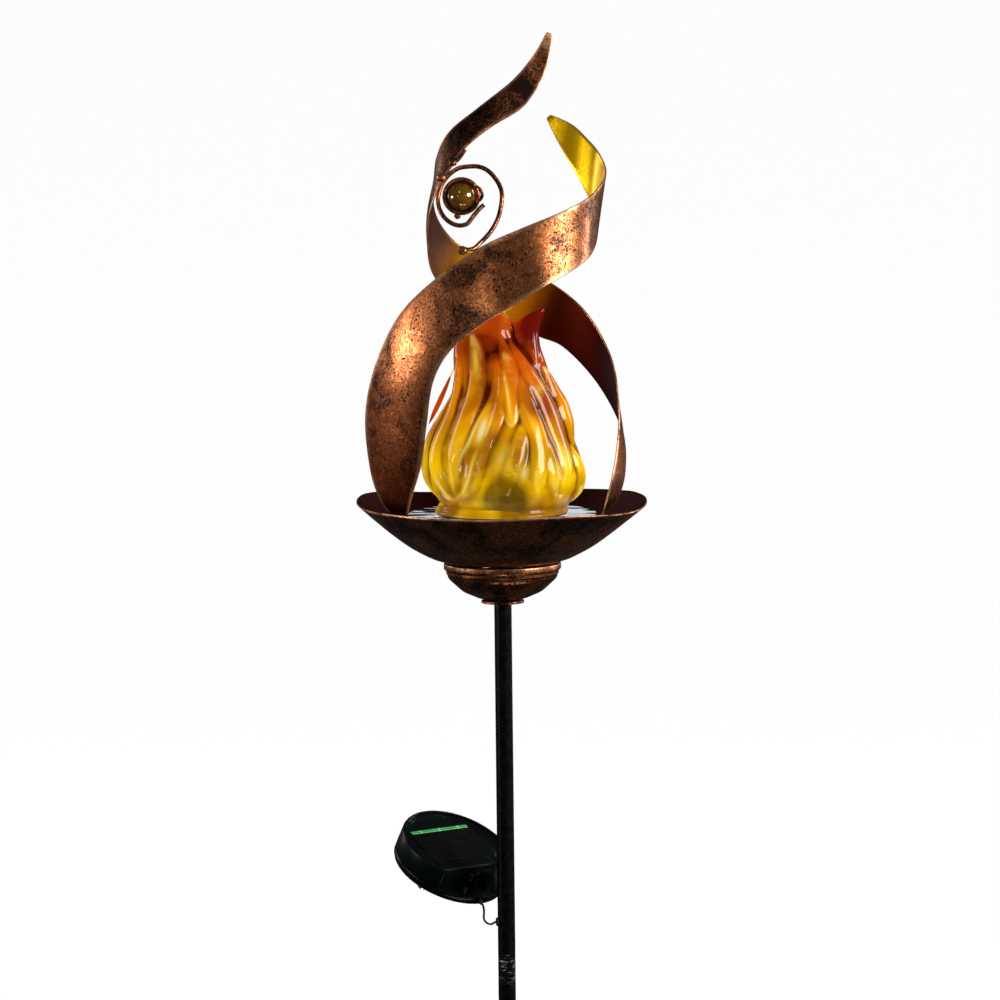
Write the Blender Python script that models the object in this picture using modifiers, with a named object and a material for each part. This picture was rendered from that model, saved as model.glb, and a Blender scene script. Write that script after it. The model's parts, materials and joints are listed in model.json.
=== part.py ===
"""Solar flame torch on a sectional garden pole.

Lengths below are in millimetres and become metres when a mesh is made. +Z is up, the origin is on the
pole's axis at the soil line, the underside of the ground fork's crossbar, and the torch's front is -Y.
"""

import math

import bmesh
import bpy
from mathutils import Matrix, Vector

MM = 0.001

# Pole
POLE_R = 4.8
POLE_BORE = 3.9
POLE_BOTTOM = 3.2
SEAM_Z = 303.0
POLE_TOP = 500.0
SLEEVE_R = 3.8
SLEEVE_UP = 14.0
SLEEVE_DOWN = 40.0
GAP = 0.3

# Ground fork
FORK_HALF = 33.0
FORK_BAR = 2.6
FORK_WIDTH = 14.0
PRONG_DEPTH = 120.0

# Head
CUP_Z = 502.0
BOWL_Z = 523.2
BOWL_R = 80.0
BOWL_SHEET = 1.1
RIM_WAVE = ((1, 0.5, 200), (2, 1.1, 10), (3, 1.3, 110), (5, 0.5, 60))
PLATE_TOP = 549.6
PLATE_R = 52.0
NIPPLE_R = 2.6
RIBBON_SHEET = 0.9
WIRE_R = 1.25
MARBLE_R = 8.0
MARBLE_AT = (-20.2, -30.0, 728.0)

# Ribbons, foot to tip: (upper edge, lower edge) as x, y, z
RIBBON_FRONT = (
    ((-55, -8, 538), (-51, -14, 536)),
    ((-59, -8, 548), (-52, -15, 548)),
    ((-67, -7, 560), (-50, -21, 560)),
    ((-72, -6, 577), (-44, -32, 581)),
    ((-74, -9, 606), (-41, -39, 603)),
    ((-68, -20, 635), (-37, -46, 628)),
    ((-54, -33, 664), (-27, -52, 646)),
    ((-32, -44, 686), (-9, -57, 661)),
    ((-9, -50, 702), (8, -58, 671)),
    ((14, -49, 712), (27, -55, 682)),
    ((36, -40, 720), (43, -41, 690)),
    ((51, -23, 727), (51, -23, 696)),
    ((59, 2, 736), (54, 2, 704)),
    ((56, 22, 745), (52, 21, 716)),
    ((49, 33, 753), (45, 32, 731)),
    ((41, 39, 760), (36, 39, 746)),
    ((30, 43, 765), (28, 43, 762)),
)
RIBBON_BACK = (
    ((53, -8, 537), (56, 7, 538)),
    ((55, -8, 548), (59, 8, 548)),
    ((58, -7, 559), (65, 11, 559)),
    ((61, -5, 570), (68, 17, 570)),
    ((64, 2, 587), (68, 28, 586)),
    ((65, 10, 605), (63, 39, 601)),
    ((62, 25, 630), (51, 48, 620)),
    ((50, 39, 653), (35, 54, 636)),
    ((34, 48, 668), (21, 56, 642)),
    ((12, 52, 680), (2, 56, 652)),
    ((-6, 49, 687), (-16, 50, 660)),
    ((-20, 41, 693), (-29, 35, 670)),
    ((-28, 29, 701), (-37, 12, 683)),
    ((-34, 14, 712), (-39, -10, 700)),
    ((-36, 2, 723), (-38, -21, 716)),
    ((-35, -7, 735), (-33, -25, 732)),
    ((-33, -11, 749), (-26, -25, 743)),
    ((-26, -13, 762), (-18, -24, 754)),
    ((-10, -14, 775), (-4, -22, 765)),
    ((9, -14, 790), (15, -20, 777)),
    ((21, -11, 804), (26, -14, 795)),
    ((27, -7, 814), (30, -8, 812)),
)

# Scroll wire from its weld on the front ribbon to its inner end, and the short brace by the back ribbon
SCROLL = (
    (-19, -51.5, 700.5), (-14, -50, 701), (-10, -47, 704), (-5, -44, 709), (-1, -40, 715), (1, -36, 721),
    (2, -33, 728), (1, -30, 733), (-2, -29, 738), (-6, -28.5, 742), (-11, -28.5, 744), (-17, -28.5, 744),
    (-22, -28.5, 743), (-27, -29, 739.5), (-31, -30, 734), (-33, -32, 727), (-32, -35, 721),
    (-28.5, -38, 716), (-23, -39, 713), (-17.5, -38.5, 713.5), (-13.5, -37, 718), (-10.5, -36, 721.5),
    (-8, -35, 723.5),
)
BRACE = ((-18, -27.2, 753.5), (-21.5, -27.7, 748.5), (-25.3, -28.3, 745.6))

# Solar panel, in its own frame: x along the pivot, y away from the pole, z out of the window
PANEL_AZIMUTH = 132.0
PANEL_TILT = 31.0
PIVOT_REACH = 20.0
PIVOT_Z = 346.6
SADDLE_SCREWS = (-5.2, 5.2)
PANEL_R = 32.5
PANEL_MID_Y = 24.0
PANEL_TOP = 3.7
PANEL_SEAM = -9.2
PANEL_BOTTOM = -14.5
PANEL_WALL = 1.8
PANEL_CHORD = 4.0
CELL = (43.6, 28.0, 0.8)
CELL_MID_Y = 29.4
BATTERY_R = 5.1
BATTERY_LENGTH = 44.5
BATTERY_AT = (0.0, 32.8, -7.2)
SWITCH_AT = (-14.0, 14.5)
SWITCH_TRAVEL = 3.0
SCREW_PLACES = ((-25.9, 14.8), (25.9, 14.8), (0.0, 51.5))
DOOR_SCREW_AT = (21.0, 28.6)
GLAND_AT = (-3.0, -7.6)
GLAND_Z = -11.4
GLAND_LENGTH = 3.2

# Panel cable, from the gland to the grommet in the pole, as world x, y, z
CABLE_R = 0.6
CABLE_HOLE = (195.0, 323.0)
CABLE_ROUTE = (
    (-13.17, 10.15, 331.11), (-12.7, 9.3, 330.3), (-12.3, 6.2, 328.6), (-12.3, 2.2, 327.2),
    (-12.5, -2.2, 326.1), (-12.4, -6.0, 325.1), (-11.5, -8.6, 324.0), (-10.0, -9.2, 323.1),
    (-8.6, -7.4, 322.5), (-7.6, -4.5, 322.4), (-6.9, -2.4, 322.7), (-5.70, -1.53, 323.0),
)


# ---------------------------------------------------------------- helpers

def clear_scene():
    for found in list(bpy.data.objects):
        bpy.data.objects.remove(found, do_unlink=True)


def new_collection(name, hidden=False):
    made = bpy.data.collections.new(name)
    bpy.context.scene.collection.children.link(made)
    made.hide_render = hidden
    return made


def material(name, colour, roughness, metallic=0.0, transmission=0.0):
    made = bpy.data.materials.new(name)
    made.use_nodes = True
    shader = made.node_tree.nodes["Principled BSDF"]
    shader.inputs["Base Color"].default_value = (*colour, 1.0)
    shader.inputs["Roughness"].default_value = roughness
    shader.inputs["Metallic"].default_value = metallic
    shader.inputs["Transmission Weight"].default_value = transmission
    return made


def add(name, mesh, surface, parent=None, smooth=True):
    """Puts a mesh in the torch's collection under its node name."""
    made = bpy.data.objects.new(name, mesh)
    PARTS.objects.link(made)
    mesh.materials.append(surface)
    if smooth and isinstance(mesh, bpy.types.Mesh):
        mesh.shade_smooth()
        mesh.set_sharp_from_angle(angle=math.radians(35))
    made.parent = parent
    return made


def mesh_from(build):
    """A mesh made by a function that fills a bmesh, scaled from millimetres to metres."""
    mesh = bpy.data.meshes.new("mesh")
    work = bmesh.new()
    build(work)
    bmesh.ops.scale(work, vec=(MM, MM, MM), verts=work.verts)
    work.to_mesh(mesh)
    work.free()
    return mesh


def make_cutter(name, mesh, parent=None):
    made = bpy.data.objects.new(name, mesh)
    CUTTERS.objects.link(made)
    made.hide_render = True
    made.display_type = "WIRE"
    made.parent = parent
    return made


def boolean(target, tool, operation="DIFFERENCE"):
    change = target.modifiers.new(f"{operation.lower()}_{tool.name}", "BOOLEAN")
    change.operation = operation
    change.object = tool


def screw_modifier(target, steps):
    turn = target.modifiers.new("turn", "SCREW")
    turn.axis = "Z"
    turn.steps = steps
    turn.render_steps = steps
    turn.use_merge_vertices = True
    turn.merge_threshold = 0.00005


def profile_mesh(profile, closed):
    def build(work):
        corners = [work.verts.new((r, 0.0, z)) for r, z in profile]
        for first, second in zip(corners, corners[1:]):
            work.edges.new((first, second))
        if closed:
            work.edges.new((corners[-1], corners[0]))
    return mesh_from(build)


def turned(name, profile, surface, steps=32, parent=None, at=(0.0, 0.0, 0.0), aim=None):
    """Turns (radius, height) points about Z: outer side downwards, and closed if it has a bore."""
    closed = min(r for r, _ in profile) > 0.0
    made = add(name, profile_mesh(profile, closed), surface, parent)
    made.location = Vector(at) * MM
    if aim is not None:
        made.rotation_euler = Vector((0.0, 0.0, 1.0)).rotation_difference(Vector(aim)).to_euler()
    screw_modifier(made, steps)
    return made


def tube_profile(outer, inner, low, high):
    return [(outer, high), (outer, low), (inner, low), (inner, high)]


def cylinder_mesh(radius, low, high, sides=32, centre=(0.0, 0.0)):
    def build(work):
        move = Matrix.Translation((centre[0], centre[1], (low + high) / 2))
        bmesh.ops.create_cone(work, cap_ends=True, segments=sides, radius1=radius, radius2=radius,
                              depth=high - low, matrix=move)
    return mesh_from(build)


def cross_cylinder_mesh(radius, low, high, y=0.0, z=0.0, sides=24):
    """A cylinder along X from low to high."""
    def build(work):
        turn = Matrix.Translation(((low + high) / 2, y, z)) @ Matrix.Rotation(math.pi / 2, 4, "Y")
        bmesh.ops.create_cone(work, cap_ends=True, segments=sides, radius1=radius, radius2=radius,
                              depth=high - low, matrix=turn)
    return mesh_from(build)


def box_mesh(low, high):
    def build(work):
        middle = (Vector(low) + Vector(high)) / 2
        size = Vector(high) - Vector(low)
        stretch = Matrix.Diagonal((*size, 1.0))
        bmesh.ops.create_cube(work, size=1.0, matrix=Matrix.Translation(middle) @ stretch)
    return mesh_from(build)


def d_shape_mesh(radius, flat, low, high, sides=48):
    """A disc about the panel's middle whose pole side is cut straight at y = flat."""
    def build(work):
        move = Matrix.Translation((0.0, PANEL_MID_Y, (low + high) / 2))
        bmesh.ops.create_cone(work, cap_ends=True, segments=sides, radius1=radius, radius2=radius,
                              depth=high - low, matrix=move)
        cut = bmesh.ops.bisect_plane(work, geom=work.verts[:] + work.edges[:] + work.faces[:],
                                     plane_co=(0.0, flat, 0.0), plane_no=(0.0, -1.0, 0.0), clear_outer=True)
        edges = [part for part in cut["geom_cut"] if isinstance(part, bmesh.types.BMEdge)]
        bmesh.ops.contextual_create(work, geom=edges)
        bmesh.ops.recalc_face_normals(work, faces=work.faces)
    return mesh_from(build)


def hex_nut(name, surface, flats, bore, low, high, parent=None, at=(0.0, 0.0, 0.0), turn=None):
    """A flat hexagon outline with a round hole, given its thickness."""
    outline = bpy.data.curves.new(name, "CURVE")
    outline.dimensions = "2D"
    outline.fill_mode = "BOTH"
    outline.extrude = (high - low) / 2 * MM
    for count, radius in ((6, flats / math.sqrt(3.0)), (20, bore)):
        spline = outline.splines.new("POLY")
        spline.points.add(count - 1)
        spline.use_cyclic_u = True
        for index, point in enumerate(spline.points):
            angle = 2 * math.pi * (index + 0.25) / count
            point.co = (radius * MM * math.cos(angle), radius * MM * math.sin(angle), 0.0, 1.0)
    made = add(name, outline, surface, parent)
    middle = Matrix.Translation((0.0, 0.0, (low + high) / 2 * MM))
    made.matrix_local = Matrix.Translation(Vector(at) * MM) @ (turn or Matrix.Identity(4)) @ middle
    return made


def smooth_route(points, count):
    """Evenly numbered points on a Catmull-Rom curve through the given ones."""
    knots = [Vector(p) for p in points]
    knots = [2 * knots[0] - knots[1]] + knots + [2 * knots[-1] - knots[-2]]
    spans = len(knots) - 3
    route = []
    for index in range(count):
        place = index * spans / (count - 1)
        span = min(int(place), spans - 1)
        t = place - span
        a, b, c, d = knots[span:span + 4]
        route.append(0.5 * (2 * b + (c - a) * t + (2 * a - 5 * b + 4 * c - d) * t ** 2
                            + (3 * b - a - 3 * c + d) * t ** 3))
    return route


def wire(name, points, radius, surface, parent=None, cyclic=False):
    """A round wire through the points, with flat ends."""
    line = bpy.data.curves.new(name, "CURVE")
    line.dimensions = "3D"
    line.bevel_depth = radius * MM
    line.bevel_resolution = 2
    line.use_fill_caps = not cyclic
    spline = line.splines.new("POLY")
    spline.points.add(len(points) - 1)
    spline.use_cyclic_u = cyclic
    for target, point in zip(spline.points, points):
        target.co = (*(Vector(point) * MM), 1.0)
    return add(name, line, surface, parent)


def azimuth(degrees, radius, z=0.0):
    angle = math.radians(degrees)
    return Vector((radius * math.cos(angle), radius * math.sin(angle), z))


# ---------------------------------------------------------------- head

def ribbon(name, stations):
    """A sheet strip lofted through its edge stations and wrapped round the flame's axis."""
    across = 4
    along = len(stations) * 2 + 7
    upper = smooth_route([s[0] for s in stations], along)
    lower = smooth_route([s[1] for s in stations], along)

    def between(a, b, share):
        """A point between two edge points that keeps its distance from the axis."""
        flat = a.lerp(b, share)
        radius = math.hypot(a.x, a.y) * (1 - share) + math.hypot(b.x, b.y) * share
        stretch = radius / max(math.hypot(flat.x, flat.y), 1.0)
        stretch = min(stretch, 1.08)
        return Vector((flat.x * stretch, flat.y * stretch, flat.z))

    def build(work):
        rows = []
        for a, b in zip(upper, lower):
            rows.append([work.verts.new(between(a, b, step / across)) for step in range(across + 1)])
        for row, following in zip(rows, rows[1:]):
            for step in range(across):
                work.faces.new((row[step], following[step], following[step + 1], row[step + 1]))
        bmesh.ops.recalc_face_normals(work, faces=work.faces)

    made = add(name, mesh_from(build), BRONZE)
    sheet = made.modifiers.new("sheet", "SOLIDIFY")
    sheet.thickness = RIBBON_SHEET * MM
    sheet.offset = 0.0
    return made


def rim_height(angle, radius):
    """The bowl's rim rises and dips in a slow wave that fades towards the middle."""
    wave = sum(size * math.cos(order * angle - math.radians(phase)) for order, size, phase in RIM_WAVE)
    return (0.6 + wave) * (radius / BOWL_R) ** 6


def bowl():
    outer = ((3.2, 0.0), (30.5, 0.1), (34.0, 1.0), (40.0, 3.0), (51.0, 8.9), (61.5, 16.4), (70.0, 23.2),
             (80.0, 31.0))
    segments = 44

    def build(work):
        rings = []
        for radius, height in outer:
            ring = []
            for index in range(segments):
                angle = 2 * math.pi * index / segments
                place = azimuth(math.degrees(angle), radius, BOWL_Z + height + rim_height(angle, radius))
                ring.append(work.verts.new(place))
            rings.append(ring)
        for low, high in zip(rings, rings[1:]):
            for index in range(segments):
                after = (index + 1) % segments
                work.faces.new((low[index], high[index], high[after], low[after]))

    made = add("bowl", mesh_from(build), BRONZE)
    sheet = made.modifiers.new("sheet", "SOLIDIFY")
    sheet.thickness = BOWL_SHEET * MM
    sheet.offset = 1.0
    return made


def flame_radius(height):
    """Radius of the glass at a height above its foot: flange, neck, belly and throat."""
    stops = ((0.0, 36.3), (1.4, 36.3), (2.4, 34.6), (5.0, 34.8), (9.0, 39.0), (14.0, 43.5), (21.0, 45.5),
             (28.0, 45.0), (38.0, 42.0), (48.0, 38.0), (58.0, 32.5), (70.0, 27.0), (84.0, 23.8), (95.0, 23.0))
    for (low, first), (high, second) in zip(stops, stops[1:]):
        if height <= high:
            return first + (second - first) * (height - low) / (high - low)
    return stops[-1][1]


def flame_glass():
    """A blown-glass flame: a fluted belly that narrows to a throat and ends in soft tongues."""
    segments = 28
    foot = PLATE_TOP + 1.1
    heights = (0.0, 1.4, 2.4, 5.0, 9.0, 14.0, 21.0, 30.0, 42.0, 54.0, 68.0, 84.0, 95.0)
    crown = ((0.92, 104.0, 7.0), (0.66, 109.0, 8.0), (0.34, 108.0, 3.0))

    def point(index, radius, height, lift=0.0):
        angle = 2 * math.pi * index / segments
        fold = 0.045 * math.sin(5 * angle + height / 14.0) + 0.02 * math.sin(9 * angle - height / 9.0)
        fold *= min(1.0, max(0.0, (height - 5.0) / 20.0))
        tongues = lift * (max(0.0, math.cos(angle - 0.35)) ** 6 + 0.9 * max(0.0, math.cos(angle - 2.6)) ** 6)
        place = azimuth(math.degrees(angle), radius * (1.0 + fold), foot + height + tongues)
        return place + Vector((2.0 * min(1.0, height / 30.0), 0.0, 0.0))

    def build(work):
        rings = [[work.verts.new(point(i, flame_radius(h), h)) for i in range(segments)] for h in heights]
        for share, height, lift in crown:
            throat = flame_radius(95.0) * share
            rings.append([work.verts.new(point(i, throat, height, lift)) for i in range(segments)])
        for low, high in zip(rings, rings[1:]):
            for index in range(segments):
                after = (index + 1) % segments
                work.faces.new((low[index], low[after], high[after], high[index]))
        top = work.verts.new(point(0, 0.01, 107.0))
        for index in range(segments):
            work.faces.new((rings[-1][index], rings[-1][(index + 1) % segments], top))

    made = add("glass_flame", mesh_from(build), AMBER_GLASS)
    wall = made.modifiers.new("wall", "SOLIDIFY")
    wall.thickness = 1.6 * MM
    wall.offset = -1.0
    return made


def marble_and_ring():
    """The solid glass marble and the wire loop that holds it."""
    centre = Vector(MARBLE_AT)

    def build(work):
        bmesh.ops.create_uvsphere(work, u_segments=18, v_segments=10, radius=MARBLE_R)

    ball = add("marble", mesh_from(build), AMBER_GLASS)
    ball.location = centre * MM

    ring_r = MARBLE_R + GAP + 0.85
    turns = 24
    start = math.radians(-35)
    loop = []
    for index in range(turns + 1):
        angle = start + (2 * math.pi - 0.2) * index / turns
        loop.append(centre + Vector((ring_r * math.cos(angle), 0.0, ring_r * math.sin(angle))))
    first = centre + Vector((ring_r * 1.42, -1.0, -ring_r * 0.18))
    wire("marble_ring", [first, centre + Vector((ring_r * 1.13, -0.6, -ring_r * 0.44))] + loop, 0.85, BRONZE)


def head():
    """Everything above the cup: ribbons, wires, marble, bowl, glass and its light."""
    ribbon("ribbon_front", RIBBON_FRONT)
    ribbon("ribbon_back", RIBBON_BACK)
    wire("scroll_wire", smooth_route(SCROLL, 48), WIRE_R, BRONZE)
    wire("wire_brace", smooth_route(BRACE, 6), WIRE_R, BRONZE)
    marble_and_ring()
    bowl()
    flame_glass()
    turned("glass_gasket", tube_profile(36.0, 32.6, PLATE_TOP + GAP, PLATE_TOP + 0.8), RUBBER, 40)
    turned("reflector_plate", tube_profile(PLATE_R, 3.0, PLATE_TOP - 1.1, PLATE_TOP), CHROME, 48)
    led_stack()


def led_stack():
    """The light under the glass: its base, board, LED and dome."""
    low = PLATE_TOP + GAP
    base = [(22.0, low + 6.8), (22.0, low), (20.5, low), (20.5, low + 5.3), (6.5, low + 5.3), (6.5, low + 6.8)]
    turned("led_base", base, BLACK_PLASTIC)
    turned("led_board", tube_profile(9.0, 1.3, low + 7.1, low + 8.3), CIRCUIT, 24)
    bulb = [(0.0, low + 14.5), (1.5, low + 14.1), (2.5, low + 12.6), (2.5, low + 8.6), (0.0, low + 8.6)]
    turned("led", bulb, LED_LENS, 20)
    dome = [(12.7 * math.cos(t), low + 11.5 + 12.7 * math.sin(t)) for t in (1.571, 1.05, 0.5, 0.0)]
    dome[0] = (0.0, dome[0][1])
    inside = [(11.5 * math.cos(t), low + 11.5 + 11.5 * math.sin(t)) for t in (0.0, 0.5, 1.05, 1.571)]
    inside[-1] = (0.0, inside[-1][1])
    turned("led_dome", dome + [(12.7, low + 7.1), (11.5, low + 7.1)] + inside, DIFFUSER, 24)


def head_core():
    """The cup below the bowl and the hollow threaded rod that clamps the head to the pole."""
    turned("pole_flange", tube_profile(11.8, 3.0, POLE_TOP + 0.3, CUP_Z - 0.3), BRONZE, 32)
    outer = [(30.5, 516.2), (29.6, 514.0), (26.6, 511.0), (22.0, 506.8), (13.0, 502.9), (5.0, CUP_Z),
             (3.0, CUP_Z)]
    inner = [(3.0, CUP_Z + 1.0), (5.0, CUP_Z + 1.0), (12.6, 503.9), (21.2, 507.7), (25.7, 511.7), (28.5, 514.5),
             (29.3, 516.2)]
    turned("cup", outer + inner, BRONZE, 28)
    ring = [(31.6, 522.9), (32.3, 522.2), (32.3, 519.4), (31.6, 518.7), (31.0, 518.6), (31.0, 516.5),
            (28.6, 516.5), (28.6, 522.9)]
    turned("cup_ring", ring, BRONZE, 32)
    turned("threaded_nipple", tube_profile(NIPPLE_R, 1.5, 484.0, PLATE_TOP + 5.0), STEEL, 20)
    turned("pole_top_insert", tube_profile(3.6, 2.8, 485.0, 499.5), STEEL, 24)
    floor = BOWL_Z + BOWL_SHEET + GAP
    turned("bowl_washer", tube_profile(9.0, 3.0, floor, floor + 1.2), STEEL, 24)
    hex_nut("bowl_nut", STEEL, 10.0, 2.9, floor + 1.5, floor + 5.5)
    turned("plate_spacer", tube_profile(6.0, 3.0, floor + 5.8, PLATE_TOP - 1.4), BLACK_PLASTIC, 24)
    hex_nut("plate_nut", STEEL, 10.0, 2.9, PLATE_TOP + GAP, PLATE_TOP + 3.8)


# ---------------------------------------------------------------- pole

def pole():
    """The two tube sections, the sleeve that joins them and the cable's way in."""
    upper = turned("pole_upper", tube_profile(POLE_R, POLE_BORE, SEAM_Z + 0.7, POLE_TOP), BLACK_PAINT, 24)
    hole = make_cutter("cable_hole", cylinder_mesh(1.9, 2.0, 8.0, 20))
    hole.rotation_euler = (0.0, math.pi / 2, math.radians(CABLE_HOLE[0]))
    hole.location.z = CABLE_HOLE[1] * MM
    boolean(upper, hole)
    for height in (PIVOT_Z + offset for offset in SADDLE_SCREWS):
        screw_hole = make_cutter("screw_hole", cylinder_mesh(1.5, 2.0, 8.0, 16))
        screw_hole.rotation_euler = (0.0, math.pi / 2, math.radians(PANEL_AZIMUTH))
        screw_hole.location.z = height * MM
        boolean(upper, screw_hole)
    turned("pole_lower", tube_profile(POLE_R, POLE_BORE, POLE_BOTTOM, SEAM_Z - 0.7), BLACK_PAINT, 24)
    sleeve = [(SLEEVE_R, SEAM_Z + SLEEVE_UP), (SLEEVE_R, SEAM_Z + 0.4), (POLE_R, SEAM_Z + 0.4),
              (POLE_R, SEAM_Z - 0.4), (SLEEVE_R, SEAM_Z - 0.4), (SLEEVE_R, SEAM_Z - SLEEVE_DOWN),
              (2.9, SEAM_Z - SLEEVE_DOWN), (2.9, SEAM_Z + SLEEVE_UP)]
    turned("coupling_sleeve", sleeve, BLACK_PAINT, 24)
    reach = azimuth(CABLE_HOLE[0], 1.0)
    grommet = [(2.5, 5.6), (2.5, 5.15), (1.6, 5.15), (1.6, 3.6), (0.95, 3.6), (0.95, 5.6)]
    turned("cable_grommet", grommet, RUBBER, 20, at=(0.0, 0.0, CABLE_HOLE[1]), aim=reach)
    lead = (azimuth(CABLE_HOLE[0], 3.2, CABLE_HOLE[1]), azimuth(CABLE_HOLE[0], 2.2, CABLE_HOLE[1] + 2.0),
            Vector((0.4, -1.0, CABLE_HOLE[1] + 10.0)), Vector((0.6, -0.8, 360.0)), Vector((0.6, -0.8, 420.0)),
            Vector((0.2, -0.3, 470.0)), Vector((0.0, 0.0, 490.0)), Vector((0.0, 0.0, 520.0)),
            Vector((0.0, 0.0, PLATE_TOP + 6.9)))
    wire("lead_wire", smooth_route(lead, 24), CABLE_R, CABLE_SKIN)


def ground_fork():
    """A bent strip with two pointed prongs, and the stub that the lower pole stands on."""
    half = FORK_HALF
    bar = FORK_BAR
    outline = ((-half, bar), (half, bar), (half, -PRONG_DEPTH + 18), (half - bar / 2, -PRONG_DEPTH),
               (half - bar, -PRONG_DEPTH + 18), (half - bar, 0.0), (-half + bar, 0.0),
               (-half + bar, -PRONG_DEPTH + 18), (-half + bar / 2, -PRONG_DEPTH), (-half, -PRONG_DEPTH + 18))
    strip = bpy.data.curves.new("ground_fork", "CURVE")
    strip.dimensions = "2D"
    strip.fill_mode = "BOTH"
    strip.extrude = FORK_WIDTH / 2 * MM
    spline = strip.splines.new("POLY")
    spline.points.add(len(outline) - 1)
    spline.use_cyclic_u = True
    for target, (x, z) in zip(spline.points, outline):
        target.co = (x * MM, z * MM, 0.0, 1.0)
    fork = add("ground_fork", strip, BLACK_PAINT)
    fork.rotation_euler = (math.pi / 2, 0.0, 0.0)
    stub = [(0.0, 32.0), (3.0, 32.0), (3.7, 31.0), (3.7, bar + GAP), (0.0, bar + GAP)]
    turned("fork_stub", stub, BLACK_PAINT, 24)


# ---------------------------------------------------------------- solar panel

def panel_frame():
    """An empty on the tilt pivot, whose axes are the panel's own."""
    away = azimuth(PANEL_AZIMUTH, 1.0)
    tilt = math.radians(PANEL_TILT)
    up = Vector((0.0, 0.0, 1.0))
    along = away * math.cos(tilt) + up * math.sin(tilt)
    normal = up * math.cos(tilt) - away * math.sin(tilt)
    across = along.cross(normal)
    frame = Matrix((across, along, normal)).transposed().to_4x4()
    empty = bpy.data.objects.new("panel_tilt_pivot", None)
    PARTS.objects.link(empty)
    place = azimuth(PANEL_AZIMUTH, PIVOT_REACH, PIVOT_Z) * MM
    empty.matrix_world = Matrix.Translation(place) @ frame
    return empty


def bracket_frame():
    """An empty on the same pivot with X along it, Y away from the pole and Z up."""
    empty = bpy.data.objects.new("bracket_frame", None)
    PARTS.objects.link(empty)
    away = azimuth(PANEL_AZIMUTH, 1.0)
    up = Vector((0.0, 0.0, 1.0))
    frame = Matrix((away.cross(up), away, up)).transposed().to_4x4()
    empty.matrix_world = Matrix.Translation(azimuth(PANEL_AZIMUTH, PIVOT_REACH, PIVOT_Z) * MM) @ frame
    return empty


def panel_bracket(frame):
    """The saddle behind the pole with its arm and middle knuckle, and its two screws."""
    pole_y = -PIVOT_REACH
    knuckle = add("panel_bracket", cross_cylinder_mesh(3.3, -3.4, 3.4), BLACK_PLASTIC, frame)
    saddle_box = box_mesh((-4.2, pole_y + 2.5, -8.4), (4.2, pole_y + 7.0, 8.4))
    saddle = make_cutter("bracket_saddle", saddle_box, frame)
    arm = make_cutter("bracket_arm", box_mesh((-3.2, pole_y + 4.0, -2.6), (3.2, -0.5, 2.4)), frame)
    boolean(knuckle, saddle, "UNION")
    boolean(knuckle, arm, "UNION")
    bore = make_cutter("knuckle_bore", cross_cylinder_mesh(1.6, -9.0, 9.0, sides=20), frame)
    boolean(knuckle, bore)
    seat = make_cutter("pole_seat", cylinder_mesh(POLE_R + GAP, -40.0, 40.0, 32, (0.0, pole_y)), frame)
    boolean(knuckle, seat)
    for height in SADDLE_SCREWS:
        hole = make_cutter("saddle_hole", cylinder_mesh(1.5, -20.0, -5.0, 16), frame)
        hole.rotation_euler = (-math.pi / 2, 0.0, 0.0)
        hole.location = (0.0, 0.0, height * MM)
        boolean(knuckle, hole)
    seat_y = pole_y + 7.0 + GAP
    shape = [(0.0, seat_y + 1.6), (1.4, seat_y + 1.4), (2.2, seat_y + 0.6), (2.2, seat_y), (1.2, seat_y),
             (1.2, pole_y + 2.4), (0.0, pole_y + 2.4)]
    for name, height in zip(("bracket_screw_lower", "bracket_screw_upper"), SADDLE_SCREWS):
        screw = turned(name, shape, STEEL, 16, frame)
        screw.rotation_euler = (-math.pi / 2, 0.0, 0.0)
        screw.location = (0.0, 0.0, height * MM)


def pivot_hardware(frame):
    """The bolt through the knuckle and lugs, and its nut."""
    along_x = Matrix.Rotation(math.pi / 2, 4, "Y")
    shape = [(0.0, 10.6), (1.3, 10.6), (1.3, -8.3), (2.9, -8.3), (2.9, -9.6), (2.2, -10.4), (0.0, -10.4)]
    bolt = turned("pivot_bolt", shape, BLACK_PAINT, 20, frame)
    bolt.rotation_euler = (0.0, math.pi / 2, 0.0)
    hex_nut("pivot_nut", BLACK_PAINT, 5.5, 1.6, 8.3, 10.3, frame, turn=along_x)


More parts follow.
